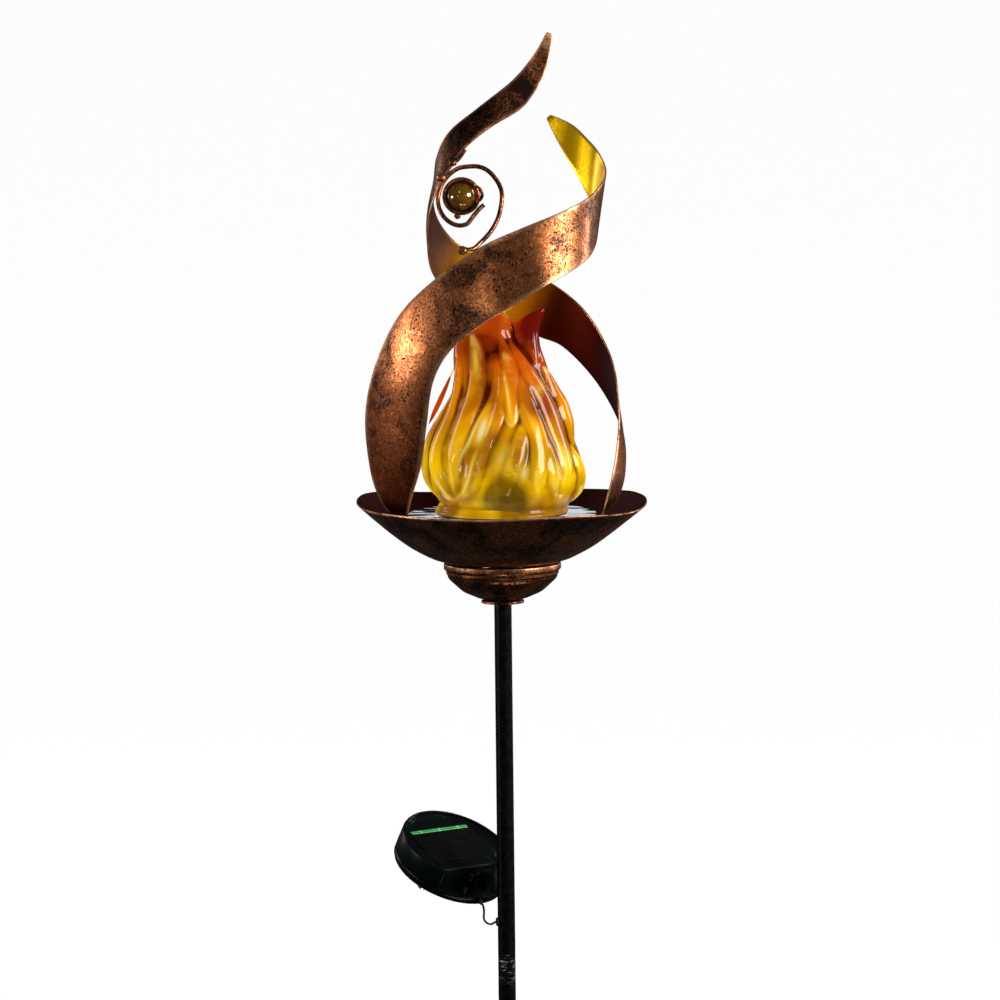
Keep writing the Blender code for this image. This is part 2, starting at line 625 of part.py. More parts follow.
def panel_top(frame):
    """The D-shaped top with its screw posts, the window and the solar cell under it."""
    rim = [(0.0, PANEL_TOP), (PANEL_R - 2.2, PANEL_TOP), (PANEL_R - 0.9, PANEL_TOP - 0.5),
           (PANEL_R, PANEL_TOP - 1.8), (PANEL_R, PANEL_SEAM + GAP), (0.0, PANEL_SEAM + GAP)]
    housing = turned("panel_housing", rim, BLACK_PLASTIC, 48, frame, at=(0.0, PANEL_MID_Y, 0.0))
    front = box_mesh((-40.0, -20.0, -20.0), (40.0, PANEL_CHORD, 20.0))
    boolean(housing, make_cutter("housing_front", front, frame))
    cavity = d_shape_mesh(PANEL_R - PANEL_WALL, PANEL_CHORD + PANEL_WALL, PANEL_SEAM - 5.0, PANEL_TOP - 3.4)
    boolean(housing, make_cutter("housing_cavity", cavity, frame))
    recess = d_shape_mesh(PANEL_R - 1.9, PANEL_CHORD + 1.4, PANEL_TOP - 2.4, PANEL_TOP + 5.0)
    boolean(housing, make_cutter("window_recess", recess, frame))
    opening = d_shape_mesh(PANEL_R - 3.0, PANEL_CHORD + 2.8, PANEL_TOP - 5.0, PANEL_TOP)
    boolean(housing, make_cutter("window_opening", opening, frame))
    for place in SCREW_PLACES:
        post_mesh = cylinder_mesh(2.9, PANEL_SEAM - 2.6, PANEL_TOP - 3.0, 20, place)
        boolean(housing, make_cutter("screw_post", post_mesh, frame), "UNION")
        pilot_mesh = cylinder_mesh(1.5, -20.0, -3.0, 16, place)
        boolean(housing, make_cutter("screw_pilot", pilot_mesh, frame))

    window = d_shape_mesh(PANEL_R - 2.2, PANEL_CHORD + 1.7, PANEL_TOP - 2.1, PANEL_TOP - 1.0)
    add("panel_window", window, CLEAR_PLASTIC, frame)
    half_x, half_y = CELL[0] / 2, CELL[1] / 2
    top = PANEL_TOP - 2.5
    cell = box_mesh((-half_x, CELL_MID_Y - half_y, top - CELL[2]), (half_x, CELL_MID_Y + half_y, top))
    add("solar_cell", cell, CELL_BLUE, frame, smooth=False)


def panel_base(frame):
    """The round base with the hinge lugs on its step, and its holes."""
    outer = [(0.0, PANEL_SEAM), (PANEL_R, PANEL_SEAM), (PANEL_R, PANEL_BOTTOM + 2.4),
             (PANEL_R - 0.8, PANEL_BOTTOM + 0.8), (PANEL_R - 2.6, PANEL_BOTTOM), (0.0, PANEL_BOTTOM)]
    base = turned("panel_base", outer, BLACK_PLASTIC, 48, frame, at=(0.0, PANEL_MID_Y, 0.0))
    inside = d_shape_mesh(PANEL_R - PANEL_WALL, PANEL_CHORD + PANEL_WALL, PANEL_BOTTOM + 1.5, PANEL_SEAM + 5.0)
    boolean(base, make_cutter("base_cavity", inside, frame))
    for side in (-1, 1):
        ends = sorted((side * 3.8, side * 7.8))
        lug = make_cutter("hinge_lug", cross_cylinder_mesh(3.3, *ends), frame)
        foot_box = box_mesh((ends[0] + 0.2, -3.1, PANEL_SEAM - 1.0), (ends[1] - 0.2, 2.5, 0.3))
        foot = make_cutter("lug_foot", foot_box, frame)
        boolean(base, foot, "UNION")
        boolean(base, lug, "UNION")
    boolean(base, make_cutter("lug_bore", cross_cylinder_mesh(1.6, -12.0, 12.0, sides=20), frame))
    for x in (-12.0, 12.0):
        rib = box_mesh((x - 0.6, -4.5, PANEL_SEAM - 1.0), (x + 0.6, 3.5, -4.0))
        boolean(base, make_cutter("step_rib", rib, frame), "UNION")
    bay = box_mesh((-25.5, 26.6, PANEL_BOTTOM - 2.0), (25.5, 39.0, PANEL_BOTTOM + 4.0))
    boolean(base, make_cutter("battery_bay", bay, frame))
    x, y = SWITCH_AT
    slot = box_mesh((x - 3.6, y - 1.5, PANEL_BOTTOM - 2.0), (x + 3.6, y + 1.5, PANEL_BOTTOM + 4.0))
    boolean(base, make_cutter("switch_slot", slot, frame))
    for place in SCREW_PLACES:
        boolean(base, make_cutter("base_screw_hole", cylinder_mesh(1.5, -20.0, 0.0, 16, place), frame))
    gland_hole = make_cutter("gland_hole", cylinder_mesh(1.6, -15.0, 6.0, 16), frame)
    gland_hole.location = Vector((*GLAND_AT, GLAND_Z)) * MM
    gland_hole.rotation_euler = (math.pi / 2, 0.0, 0.0)
    boolean(base, gland_hole)


def panel_contents(frame):
    """What the panel holds: battery, contacts, board and switch, then the base's screws and door."""
    x, y, z = BATTERY_AT
    half = BATTERY_LENGTH / 2
    shape = [(0.0, half + 0.8), (1.6, half + 0.8), (1.6, half), (BATTERY_R - 0.4, half),
             (BATTERY_R, half - 0.6), (BATTERY_R, -half + 0.6), (BATTERY_R - 0.4, -half), (0.0, -half)]
    battery = turned("battery", shape, BATTERY_WRAP, 24, frame, at=(x, y, z))
    battery.rotation_euler = (0.0, math.pi / 2, 0.0)
    plate = box_mesh((half + 1.1, y - 3.5, z - 3.5), (half + 1.6, y + 3.5, z + 3.5))
    add("battery_contact_plus", plate, STEEL, frame, smooth=False)
    coil = []
    for index in range(25):
        angle = 2 * math.pi * index / 12
        size = 3.4 - 1.0 * index / 24
        coil.append((-half - 2.6 + 2.0 * index / 24, y + size * math.cos(angle), z + size * math.sin(angle)))
    wire("battery_contact_minus", coil, 0.25, STEEL, frame)
    add("control_board", box_mesh((-7.0, 7.5, -9.6), (17.0, 23.0, -8.4)), CIRCUIT, frame, smooth=False)
    x, y = SWITCH_AT
    low = PANEL_BOTTOM + 1.8
    switch_box = box_mesh((x - 5.0, y - 2.6, low), (x + 5.0, y + 2.6, low + 3.2))
    add("switch_body", switch_box, STEEL, frame, smooth=False)
    wing = [(0.0, 0.0), (2.4, 0.0), (2.4, -1.3), (1.2, -1.3), (1.2, -7.6), (0.0, -7.6)]
    for index, place in enumerate(SCREW_PLACES):
        screw = turned(f"housing_screw_{index + 1}", wing, STEEL, 16, frame)
        screw.rotation_euler = (math.pi, 0.0, 0.0)
        screw.location = Vector((*place, PANEL_BOTTOM - 1.35)) * MM
    door = add("battery_door", box_mesh((-25.2, 26.9, PANEL_BOTTOM + 0.1), (25.2, 38.7, PANEL_BOTTOM + 1.4)),
               BLACK_PLASTIC, frame, smooth=False)
    hole = make_cutter("door_screw_hole", cylinder_mesh(1.4, -20.0, 0.0, 16, DOOR_SCREW_AT), frame)
    boolean(door, hole)
    head_shape = [(0.0, 0.0), (2.1, 0.0), (2.1, -1.0), (1.1, -1.0), (1.1, -3.4), (0.0, -3.4)]
    screw = turned("door_screw", head_shape, STEEL, 16, frame)
    screw.rotation_euler = (math.pi, 0.0, 0.0)
    screw.location = Vector((*DOOR_SCREW_AT, PANEL_BOTTOM - 1.25)) * MM


def switch_slider(frame):
    """The on/off knob, at the off end of its slot."""
    x, y = SWITCH_AT
    slider = bpy.data.objects.new("switch_slide", None)
    PARTS.objects.link(slider)
    slider.parent = frame
    slider.location = Vector((x - SWITCH_TRAVEL / 2, y, PANEL_BOTTOM)) * MM
    add("switch_slider", box_mesh((-1.5, -1.2, -1.4), (1.5, 1.2, 1.5)), BLACK_PLASTIC, slider, smooth=False)


def cable_gland(frame):
    """A tapered rubber relief that stands out of the base's wall towards the pole."""
    shape = [(0.0, 5.0), (1.3, 5.0), (1.3, -0.6), (0.8, -GLAND_LENGTH), (0.0, -GLAND_LENGTH)]
    made = turned("cable_gland", shape, RUBBER, 16, frame)
    made.rotation_euler = (-math.pi / 2, 0.0, 0.0)
    made.location = Vector((*GLAND_AT, GLAND_Z)) * MM


def main():
    head()
    head_core()
    pole()
    ground_fork()
    tilt_frame = panel_frame()
    fixed_frame = bracket_frame()
    panel_bracket(fixed_frame)
    pivot_hardware(fixed_frame)
    panel_top(tilt_frame)
    panel_base(tilt_frame)
    panel_contents(tilt_frame)
    switch_slider(tilt_frame)
    cable_gland(tilt_frame)
    wire("panel_cable", smooth_route(CABLE_ROUTE, 18), CABLE_R, CABLE_SKIN)


clear_scene()
PARTS = new_collection("solar_flame_torch")
CUTTERS = new_collection("cutters", hidden=True)

BRONZE = material("bronze", (0.30, 0.14, 0.08), 0.35, 1.0)
BLACK_PAINT = material("black_paint", (0.012, 0.012, 0.013), 0.35)
BLACK_PLASTIC = material("black_plastic", (0.012, 0.016, 0.016), 0.45)
CHROME = material("chrome", (0.85, 0.86, 0.88), 0.05, 1.0)
STEEL = material("steel", (0.55, 0.55, 0.56), 0.3, 1.0)
AMBER_GLASS = material("amber_glass", (0.95, 0.45, 0.04), 0.05, 0.0, 0.8)
CLEAR_PLASTIC = material("clear_plastic", (0.9, 0.9, 0.9), 0.05, 0.0, 1.0)
DIFFUSER = material("diffuser", (0.8, 0.8, 0.75), 0.4, 0.0, 0.5)
LED_LENS = material("led_lens", (0.95, 0.85, 0.6), 0.1, 0.0, 0.6)
RUBBER = material("rubber", (0.02, 0.02, 0.02), 0.7)
CABLE_SKIN = material("cable_skin", (0.015, 0.015, 0.015), 0.5)
CELL_BLUE = material("solar_cell", (0.02, 0.015, 0.02), 0.2)
CIRCUIT = material("circuit_board", (0.02, 0.18, 0.06), 0.5)
BATTERY_WRAP = material("battery_wrap", (0.1, 0.3, 0.12), 0.4)

main()
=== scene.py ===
"""Solar flame torch: its looks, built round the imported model.

Everything is in metres in the model's frame: +Z up, the torch's front is -Y, the origin is on the pole's
axis at the soil line. Numbers written in millimetres are turned into metres by MM.
"""

import json
from math import asin, cos, pi, radians, sin

import bmesh
import bpy
import numpy as np
from mathutils import Matrix, Vector, noise
from mathutils.bvhtree import BVHTree


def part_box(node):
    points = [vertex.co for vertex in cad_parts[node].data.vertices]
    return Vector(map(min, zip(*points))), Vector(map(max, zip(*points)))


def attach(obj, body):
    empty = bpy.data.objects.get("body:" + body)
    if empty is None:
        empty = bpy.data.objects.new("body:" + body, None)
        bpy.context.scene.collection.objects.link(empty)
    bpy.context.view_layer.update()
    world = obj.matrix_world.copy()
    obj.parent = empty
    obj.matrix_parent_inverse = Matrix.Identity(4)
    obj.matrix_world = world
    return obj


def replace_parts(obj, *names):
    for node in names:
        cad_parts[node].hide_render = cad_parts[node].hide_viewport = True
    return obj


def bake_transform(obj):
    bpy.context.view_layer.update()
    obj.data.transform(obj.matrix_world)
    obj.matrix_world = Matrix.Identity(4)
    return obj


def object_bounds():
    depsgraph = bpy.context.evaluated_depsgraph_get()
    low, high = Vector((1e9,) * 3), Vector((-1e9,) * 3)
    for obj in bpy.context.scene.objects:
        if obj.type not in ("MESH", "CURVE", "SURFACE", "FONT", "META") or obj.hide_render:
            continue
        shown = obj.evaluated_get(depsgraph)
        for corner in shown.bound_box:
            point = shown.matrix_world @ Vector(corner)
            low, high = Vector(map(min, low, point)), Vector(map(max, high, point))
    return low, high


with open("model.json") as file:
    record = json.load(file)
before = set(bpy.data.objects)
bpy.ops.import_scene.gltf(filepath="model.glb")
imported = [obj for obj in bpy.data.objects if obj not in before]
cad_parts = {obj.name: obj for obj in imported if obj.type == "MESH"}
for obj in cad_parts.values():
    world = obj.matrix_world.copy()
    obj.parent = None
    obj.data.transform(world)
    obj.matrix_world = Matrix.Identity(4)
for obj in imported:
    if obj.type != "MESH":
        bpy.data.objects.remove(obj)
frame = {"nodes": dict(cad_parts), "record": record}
CAD_LOW, CAD_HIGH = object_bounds()
MM = 0.001
BLACK = (0.0, 0.0, 0.0)
WHITE = (1.0, 1.0, 1.0)


def new_object(name, data):
    made = bpy.data.objects.new(name, data)
    bpy.context.scene.collection.objects.link(made)
    return made


# ---------------- camera

LENS = 523.6
ELEVATION = radians(6.6)
ROLL = radians(-0.64)
CAMERA_AT = (-0.00094, -7.947, 1.4766)


def make_camera():
    """A long lens at the photo's viewing angle."""
    data = bpy.data.cameras.new("camera")
    data.lens = LENS
    data.sensor_width = 36.0
    data.clip_end = 100.0
    camera = new_object("camera", data)
    level = Vector((0.0, sin(ELEVATION), cos(ELEVATION)))
    side = Vector((1.0, 0.0, 0.0))
    look = Vector((0.0, cos(ELEVATION), -sin(ELEVATION)))
    right = side * cos(ROLL) + level * sin(ROLL)
    up = level * cos(ROLL) - side * sin(ROLL)
    turn = Matrix((right, up, -look)).transposed().to_4x4()
    camera.matrix_world = Matrix.Translation(CAMERA_AT) @ turn
    bpy.context.scene.camera = camera


# ---------------- material helpers

class Surface:
    """A material built from nodes round one Principled shader."""

    def __init__(self, name, **constants):
        self.material = bpy.data.materials.new(name)
        self.material.use_nodes = True
        self.tree = self.material.node_tree
        self.shader = self.tree.nodes["Principled BSDF"]
        self.where = self.tree.nodes.new("ShaderNodeTexCoord").outputs["Object"]
        for key, value in constants.items():
            self.shader.inputs[key.replace("_", " ")].default_value = value

    def put(self, socket, value):
        if isinstance(value, bpy.types.NodeSocket):
            self.tree.links.new(value, socket)
        elif isinstance(value, (tuple, list)) and len(value) == 3 and len(socket.default_value) == 4:
            socket.default_value = (*value, 1.0)
        else:
            socket.default_value = value

    def set(self, **values):
        for key, value in values.items():
            self.put(self.shader.inputs[key.replace("_", " ")], value)

    def node(self, kind, **inputs):
        """A new node with its inputs linked or set by their names."""
        made = self.tree.nodes.new("ShaderNode" + kind)
        for key, value in inputs.items():
            self.put(made.inputs[key.replace("_", " ")], value)
        return made

    def noise(self, scale, detail=4.0, rough=0.55, warp=0.0, stretch=None):
        where = self.where
        if stretch:
            where = self.node("Mapping", Vector=where, Scale=stretch).outputs[0]
        return self.node("TexNoise", Vector=where, Scale=scale, Detail=detail, Roughness=rough,
                         Distortion=warp).outputs["Fac"]

    def attribute(self, name):
        made = self.node("Attribute")
        made.attribute_name = name
        return made.outputs["Fac"]

    def axis(self, name):
        return self.node("SeparateXYZ", Vector=self.where).outputs[name]

    def math(self, operation, first, second=0.0, clamp=False):
        made = self.node("Math")
        made.operation = operation
        made.use_clamp = clamp
        self.put(made.inputs[0], first)
        self.put(made.inputs[1], second)
        return made.outputs[0]

    def times(self, first, second):
        return self.math("MULTIPLY", first, second)

    def plus(self, first, second, clamp=False):
        return self.math("ADD", first, second, clamp)

    def span(self, value, low, high, start=0.0, end=1.0):
        """Maps low..high of a value onto start..end, held at both ends."""
        return self.node("MapRange", Value=value, From_Min=low, From_Max=high, To_Min=start,
                         To_Max=end).outputs[0]

    def ramp(self, value, stops):
        made = self.node("ValToRGB", Fac=value)
        elements = made.color_ramp.elements
        while len(elements) < len(stops):
            elements.new(0.5)
        for element, (place, colour) in zip(elements, stops):
            element.position = place
            element.color = (*colour, 1.0)
        return made.outputs[0]

    def mix(self, share, first, second, blend="MIX"):
        made = self.node("Mix")
        made.data_type = "RGBA"
        made.blend_type = blend
        for place, value in ((0, share), (6, first), (7, second)):
            self.put(made.inputs[place], value)
        return made.outputs[2]

    def dimmed(self, colour, share):
        """The colour multiplied by a grey, or by another colour."""
        return self.mix(1.0, colour, (share,) * 3 if isinstance(share, float) else share, "MULTIPLY")

    def bump(self, value, depth, strength=1.0):
        """Relief that is depth metres high for a value that runs from 0 to 1."""
        made = self.node("Bump", Strength=strength, Distance=depth, Height=value)
        self.put(self.shader.inputs["Normal"], made.outputs[0])


# ---------------- materials

def bronze(name, dark=0.0, foot_shaded=False):
    """Antique copper with black mottling, fine speckle and bare copper edges. dark blackens it evenly.

    A sheet with painted shade at its foot turns a deeper orange-brown there. The emission is a painted
    highlight on bare edges and the back ribbon's tip, and the ribbons' attribute adds painted shade on the back
    ribbon's upper stretch.
    """
    s = Surface(name, Metallic=1.0, Coat_Weight=0.04, Coat_Roughness=0.3)
    patches = s.noise(48.0, 5.0, 0.62, 0.8)
    blots = s.span(patches, 0.45, 0.61)
    speckle = s.noise(820.0, 2.0, 0.7)
    grain = s.noise(300.0, 6.0, 0.8)
    spots = s.times(s.span(speckle, 0.48, 0.56), s.span(grain, 0.42, 0.58, 0.35, 1.0))
    patina_and_painted_shade = s.times(blots, s.span(grain, 0.30, 0.60, 0.35, 1.0))
    blackening = s.plus(s.times(patina_and_painted_shade, 0.9), s.times(spots, 0.85))
    # The pieces' attribute adds painted shade, on the back ribbon's upper stretch.
    blackening = s.plus(s.plus(blackening, dark), s.attribute("patina_and_painted_shade"), True)
    copper = s.mix(s.span(grain, 0.35, 0.65), (0.30, 0.070, 0.016), (0.78, 0.29, 0.11))
    colour = s.mix(blackening, copper, (0.024, 0.010, 0.007))
    edge = s.times(s.attribute("edge"), s.span(s.noise(160.0), 0.35, 0.6))
    # Painted shade: the colour is dimmed towards the foot of the sheet.
    if foot_shaded:
        painted_foot_shade = s.ramp(s.span(s.axis("Z"), 0.54, 0.64), ((0.0, (0.66, 0.37, 0.24)), (1.0, WHITE)))
        colour = s.dimmed(colour, painted_foot_shade)
    s.set(Base_Color=s.mix(edge, colour, (0.80, 0.40, 0.22)), Emission_Strength=0.8)
    # The emission is a painted highlight, set per point by the pieces' highlight attribute: on bare edges, at
    # the back ribbon's tip and round the bowl's rim.
    lit = s.mix(blackening, (0.85, 0.50, 0.24), (0.3, 0.12, 0.05))
    s.set(Emission_Color=s.mix(s.attribute("painted_highlight"), BLACK, lit))
    s.set(Roughness=s.plus(s.span(blackening, 0.0, 1.0, 0.30, 0.46), s.span(grain, 0.3, 0.7, -0.04, 0.05)))
    s.bump(s.plus(grain, s.times(speckle, 0.5)), 0.00012, 0.5)
    return s.material


def lacquer():
    """The inner faces: candy lacquer that runs from deep red to yellow gold along a ribbon, with a painted glow
    on its orange and gold stretch.
    """
    s = Surface("inner_lacquer", Metallic=1.0, Coat_Weight=0.02, Coat_Roughness=0.12, Emission_Strength=0.7)
    place = s.plus(s.attribute("tint"), s.span(s.noise(30.0), 0.3, 0.7, -0.04, 0.04))
    tint = s.ramp(place, (
        (0.0, (0.070, 0.003, 0.002)), (0.2, (0.085, 0.007, 0.002)), (0.4, (0.075, 0.013, 0.002)),
        (0.65, (0.24, 0.08, 0.003)), (0.85, (0.80, 0.44, 0.006)), (1.0, (0.60, 0.38, 0.004))))
    flake = s.noise(1100.0, 2.0, 0.7)
    s.set(Base_Color=s.mix(s.span(flake, 0.35, 0.75, 0.0, 0.5), tint, s.mix(0.6, tint, BLACK)))
    # The emission is a painted glow on the orange and gold stretch of the lacquer.
    s.set(Emission_Color=s.ramp(place, (
        (0.5, BLACK), (0.72, (0.16, 0.055, 0.001)), (0.90, (0.14, 0.085, 0.001)), (0.97, (0.9, 0.55, 0.01)))))
    s.set(Roughness=s.plus(s.span(flake, 0.3, 0.7, -0.06, 0.06), s.span(place, 0.5, 0.9, 0.48, 0.32)))
    s.bump(flake, 0.00005, 0.4)
    return s.material


def flame_glass():
    """Blown glass with a painted glow: gold low down, amber, then red tips, painted shade in its folds, painted
    highlights on its ridges, painted glints on its folds and the painted shade of the LED diffuser inside.
    """
    s = Surface("flame_glass", Metallic=0.1, Specular_IOR_Level=0.05, Coat_Weight=0.3, Coat_Roughness=0.03,
                IOR=1.4, Emission_Strength=1.0)
    level = s.plus(s.axis("Z"), s.span(s.noise(40.0, 2.0), 0.3, 0.7, -0.011, 0.011))
    level = s.plus(level, s.span(s.axis("X"), -0.02, 0.02, 0.006, 0.010))
    share = s.span(level, 0.55, 0.675)
    # The emission carries a painted glow: shade and shine are its dark and light tones at each height.
    shade = s.ramp(share, (
        (0.0, (0.24, 0.092, 0.001)), (0.24, (0.34, 0.145, 0.001)), (0.45, (0.25, 0.060, 0.001)),
        (0.66, (0.24, 0.030, 0.001)), (0.83, (0.19, 0.014, 0.001)), (1.0, (0.13, 0.005, 0.001))))
    shine = s.ramp(share, (
        (0.0, (0.58, 0.32, 0.001)), (0.24, (0.88, 0.53, 0.001)), (0.45, (0.70, 0.30, 0.001)),
        (0.66, (0.62, 0.16, 0.001)), (0.83, (0.52, 0.080, 0.001)), (1.0, (0.38, 0.040, 0.001))))
    # Painted glow patches that mix the two tones.
    painted_glow_patches = s.span(s.noise(58.0, 0.5, 0.5, 0.3, (1.0, 1.0, 0.7)), 0.36, 0.66)
    relief = s.attribute("relief")
    fold = s.attribute("fold")
    # Painted shade in the creases, weaker low down.
    painted_crease_shade = s.plus(s.span(relief, -0.7, 0.1, 0.85, 0.0), s.span(fold, -0.8, 0.1, 0.9, 0.0), True)
    painted_crease_shade = s.times(painted_crease_shade, s.span(level, 0.56, 0.60, 0.75, 1.0))
    # Painted highlights along the ridges, broken into spots.
    spots = s.span(s.noise(105.0, 2.0, 0.5, 0.6), 0.46, 0.58)
    ember = s.attribute("ember")
    ridge = s.times(s.span(s.plus(relief, s.times(fold, 0.5)), 0.40, 0.95), spots)
    ridge = s.times(ridge, s.math("SUBTRACT", 1.0, ember))
    colour = s.mix(painted_glow_patches, shade, shine)
    colour = s.mix(ember, colour, s.mix(painted_glow_patches, (0.12, 0.004, 0.001), (0.46, 0.050, 0.002)))
    colour = s.mix(painted_crease_shade, colour, s.dimmed(colour, (0.20, 0.075, 0.05)))
    # Painted shade of the LED diffuser inside, laid on the glass in front of and behind it.
    dim = s.times(s.attribute("dome_shade"), s.span(s.noise(90.0, 2.0), 0.35, 0.65, 0.9, 0.6))
    colour = s.mix(dim, colour, (0.075, 0.045, 0.001))
    glow = s.mix(s.times(ridge, 0.85), colour, s.mix(0.6, shine, (1.0, 0.80, 0.16)))
    # Painted glints, in yellow to pale cream.
    painted_glint = s.attribute("painted_glint")
    glow = s.mix(painted_glint, glow, s.mix(s.span(painted_glint, 0.35, 0.65), (1.0, 0.66, 0.03), (1.0, 0.90, 0.40)))
    # The base colour is the painted pattern dimmed; the emission is the painted glow.
    s.set(Base_Color=s.dimmed(colour, 0.3), Emission_Color=glow)
    s.set(Roughness=s.span(s.noise(300.0), 0.3, 0.7, 0.18, 0.28))
    s.set(Alpha=s.span(level, 0.560, 0.585, 0.92, 0.985))
    return s.material


def marble_glass():
    """Clear olive-amber glass with a faint painted glow, and painted shade round its rim."""
    s = Surface("marble_glass", IOR=1.5, Coat_Weight=1.0, Coat_Roughness=0.02, Emission_Strength=1.0)
    swirl = s.noise(120.0, 3.0, 0.6, 1.5)
    rim = s.attribute("rim")
    amber = s.ramp(swirl, ((0.3, (0.06, 0.026, 0.001)), (0.7, (0.12, 0.052, 0.001))))
    amber = s.mix(rim, amber, (0.020, 0.003, 0.001))
    # The emission is a painted glow.
    s.set(Base_Color=amber, Emission_Color=s.dimmed(amber, 0.25))
    s.set(Roughness=s.span(swirl, 0.3, 0.7, 0.03, 0.06))
    return s.material


def chrome():
    """Mirror plate with painted reflections: pale and dark streaks for what it picks up from the room."""
    s = Surface("chrome", Metallic=1.0, Emission_Strength=1.0)
    reflection_noise = s.noise(28.0, 3.0, 0.5, 1.2, (1.0, 2.5, 1.0))
    painted_reflection = s.span(reflection_noise, 0.46, 0.54)
    # Painted reflections: dark and pale streaks, the pale ones also in the emission.
    s.set(Base_Color=s.mix(painted_reflection, (0.10, 0.10, 0.11), (0.90, 0.90, 0.92)))
    s.set(Emission_Color=s.mix(painted_reflection, BLACK, (0.62, 0.63, 0.66)))
    s.set(Roughness=s.span(reflection_noise, 0.35, 0.7, 0.03, 0.08))
    return s.material


def black_paint():
    """Semi-gloss paint on thin tube, chipped and scuffed in places."""
    s = Surface("black_paint", Coat_Weight=0.02, Coat_Roughness=0.18, Specular_IOR_Level=0.07)
    mottle = s.noise(260.0, 6.0, 0.7)
    chips = s.span(s.noise(95.0, 8.0, 0.75, 0.4), 0.735, 0.75)
    seam = s.span(s.attribute("wear"), 0.0, 1.0)
    scratch = s.times(seam, s.span(s.noise(240.0, 4.0, 0.6, 0.0, (1.0, 1.0, 5.0)), 0.55, 0.62))
    bare = s.math("MAXIMUM", chips, scratch)
    paint = s.mix(s.span(mottle, 0.4, 0.65), (0.0012, 0.0012, 0.0014), (0.004, 0.004, 0.0045))
    s.set(Base_Color=s.mix(bare, paint, (0.42, 0.41, 0.40)))
    s.set(Metallic=s.times(bare, 0.8))
    s.set(Roughness=s.plus(s.span(mottle, 0.3, 0.7, 0.26, 0.42), s.times(bare, 0.1)))
    s.bump(s.math("SUBTRACT", mottle, s.times(bare, 0.8)), 0.00008, 0.5)
    return s.material


def black_plastic():
    s = Surface("panel_plastic", Coat_Weight=0.02, Coat_Roughness=0.2, Specular_IOR_Level=0.08)
    grain = s.noise(900.0, 3.0, 0.6)
    cloud = s.noise(45.0, 4.0)
    s.set(Base_Color=s.mix(cloud, (0.0008, 0.0020, 0.0017), (0.002, 0.0055, 0.0045)))
    s.set(Roughness=s.plus(s.span(grain, 0.3, 0.7, 0.29, 0.42), s.span(cloud, 0.3, 0.7, -0.03, 0.03)))
    s.bump(grain, 0.00005, 0.5)
    return s.material


def rubber():
    s = Surface("rubber")
    grain = s.noise(1400.0, 3.0, 0.6)
    s.set(Base_Color=s.mix(grain, (0.008, 0.008, 0.009), (0.028, 0.027, 0.027)))
    s.set(Roughness=s.span(grain, 0.3, 0.7, 0.48, 0.68))
    s.bump(grain, 0.00004, 0.6)
    return s.material


def steel():
    s = Surface("steel", Metallic=1.0)
    brush = s.noise(500.0, 4.0, 0.6, 0.0, (1.0, 1.0, 8.0))
    s.set(Base_Color=s.mix(brush, (0.34, 0.34, 0.35), (0.66, 0.66, 0.67)))
    s.set(Roughness=s.span(brush, 0.3, 0.7, 0.2, 0.42))
    return s.material


def plain_detail(name, low, high, scale, rough):
    """A two-tone material for small and inner pieces."""
    s = Surface(name)
    tone = s.noise(scale, 4.0, 0.6)
    s.set(Base_Color=s.mix(s.span(tone, 0.35, 0.65), low, high))
    s.set(Roughness=s.span(tone, 0.3, 0.7, rough - 0.06, rough + 0.06))
    return s.material


def stripes(s, axis, pitch, width):
    """1 on thin lines that repeat along one of the object's own axes, 0 between them."""
    phase = s.math("FRACT", s.plus(s.math("DIVIDE", s.axis(axis), pitch), 0.5))
    off_line = s.math("ABSOLUTE", s.math("SUBTRACT", phase, 0.5))
    return s.span(off_line, width / pitch * 0.4, width / pitch, 1.0, 0.0)


def solar_cell():
    """Dark cell with fine collector lines and two bus bars."""
    s = Surface("solar_cell", Coat_Weight=0.15, Coat_Roughness=0.05, Specular_IOR_Level=0.15)
    lines = s.math("MAXIMUM", s.times(stripes(s, "X", 0.0018, 0.00010), 0.5),
                   stripes(s, "Y", 0.0146, 0.0003))
    cloud = s.noise(90.0, 5.0, 0.65, 0.5)
    base = s.mix(cloud, (0.002, 0.0016, 0.0016), (0.007, 0.004, 0.003))
    s.set(Base_Color=s.mix(lines, base, (0.016, 0.014, 0.013)))
    s.set(Roughness=s.span(cloud, 0.3, 0.7, 0.22, 0.34))
    return s.material


def green_strip():
    """The lit green edge of the cell's board, with pale tracks along it and ticks across."""
    s = Surface("green_strip", Roughness=0.3, Emission_Strength=1.0)
    tracks = s.math("MAXIMUM", stripes(s, "Y", 0.0013, 0.00022), stripes(s, "X", 0.0137, 0.0006))
    cloud = s.span(s.noise(160.0, 3.0), 0.35, 0.65)
    green = s.mix(cloud, (0.004, 0.09, 0.02), (0.012, 0.24, 0.05))
    colour = s.mix(tracks, green, (0.22, 0.70, 0.28))
    # The emission is a painted glow.
    s.set(Base_Color=colour, Emission_Color=s.dimmed(colour, 0.7))
    return s.material


def clear_window():
    s = Surface("clear_window", IOR=1.45, Coat_Weight=0.08, Coat_Roughness=0.03, Specular_IOR_Level=0.2)
    haze = s.noise(200.0, 3.0)
    s.set(Base_Color=s.mix(haze, (0.004, 0.006, 0.006), (0.012, 0.015, 0.015)))
    s.set(Roughness=s.span(haze, 0.3, 0.7, 0.03, 0.09))
    s.set(Alpha=s.span(haze, 0.3, 0.7, 0.10, 0.16))
    return s.material


# ---------------- mesh helpers

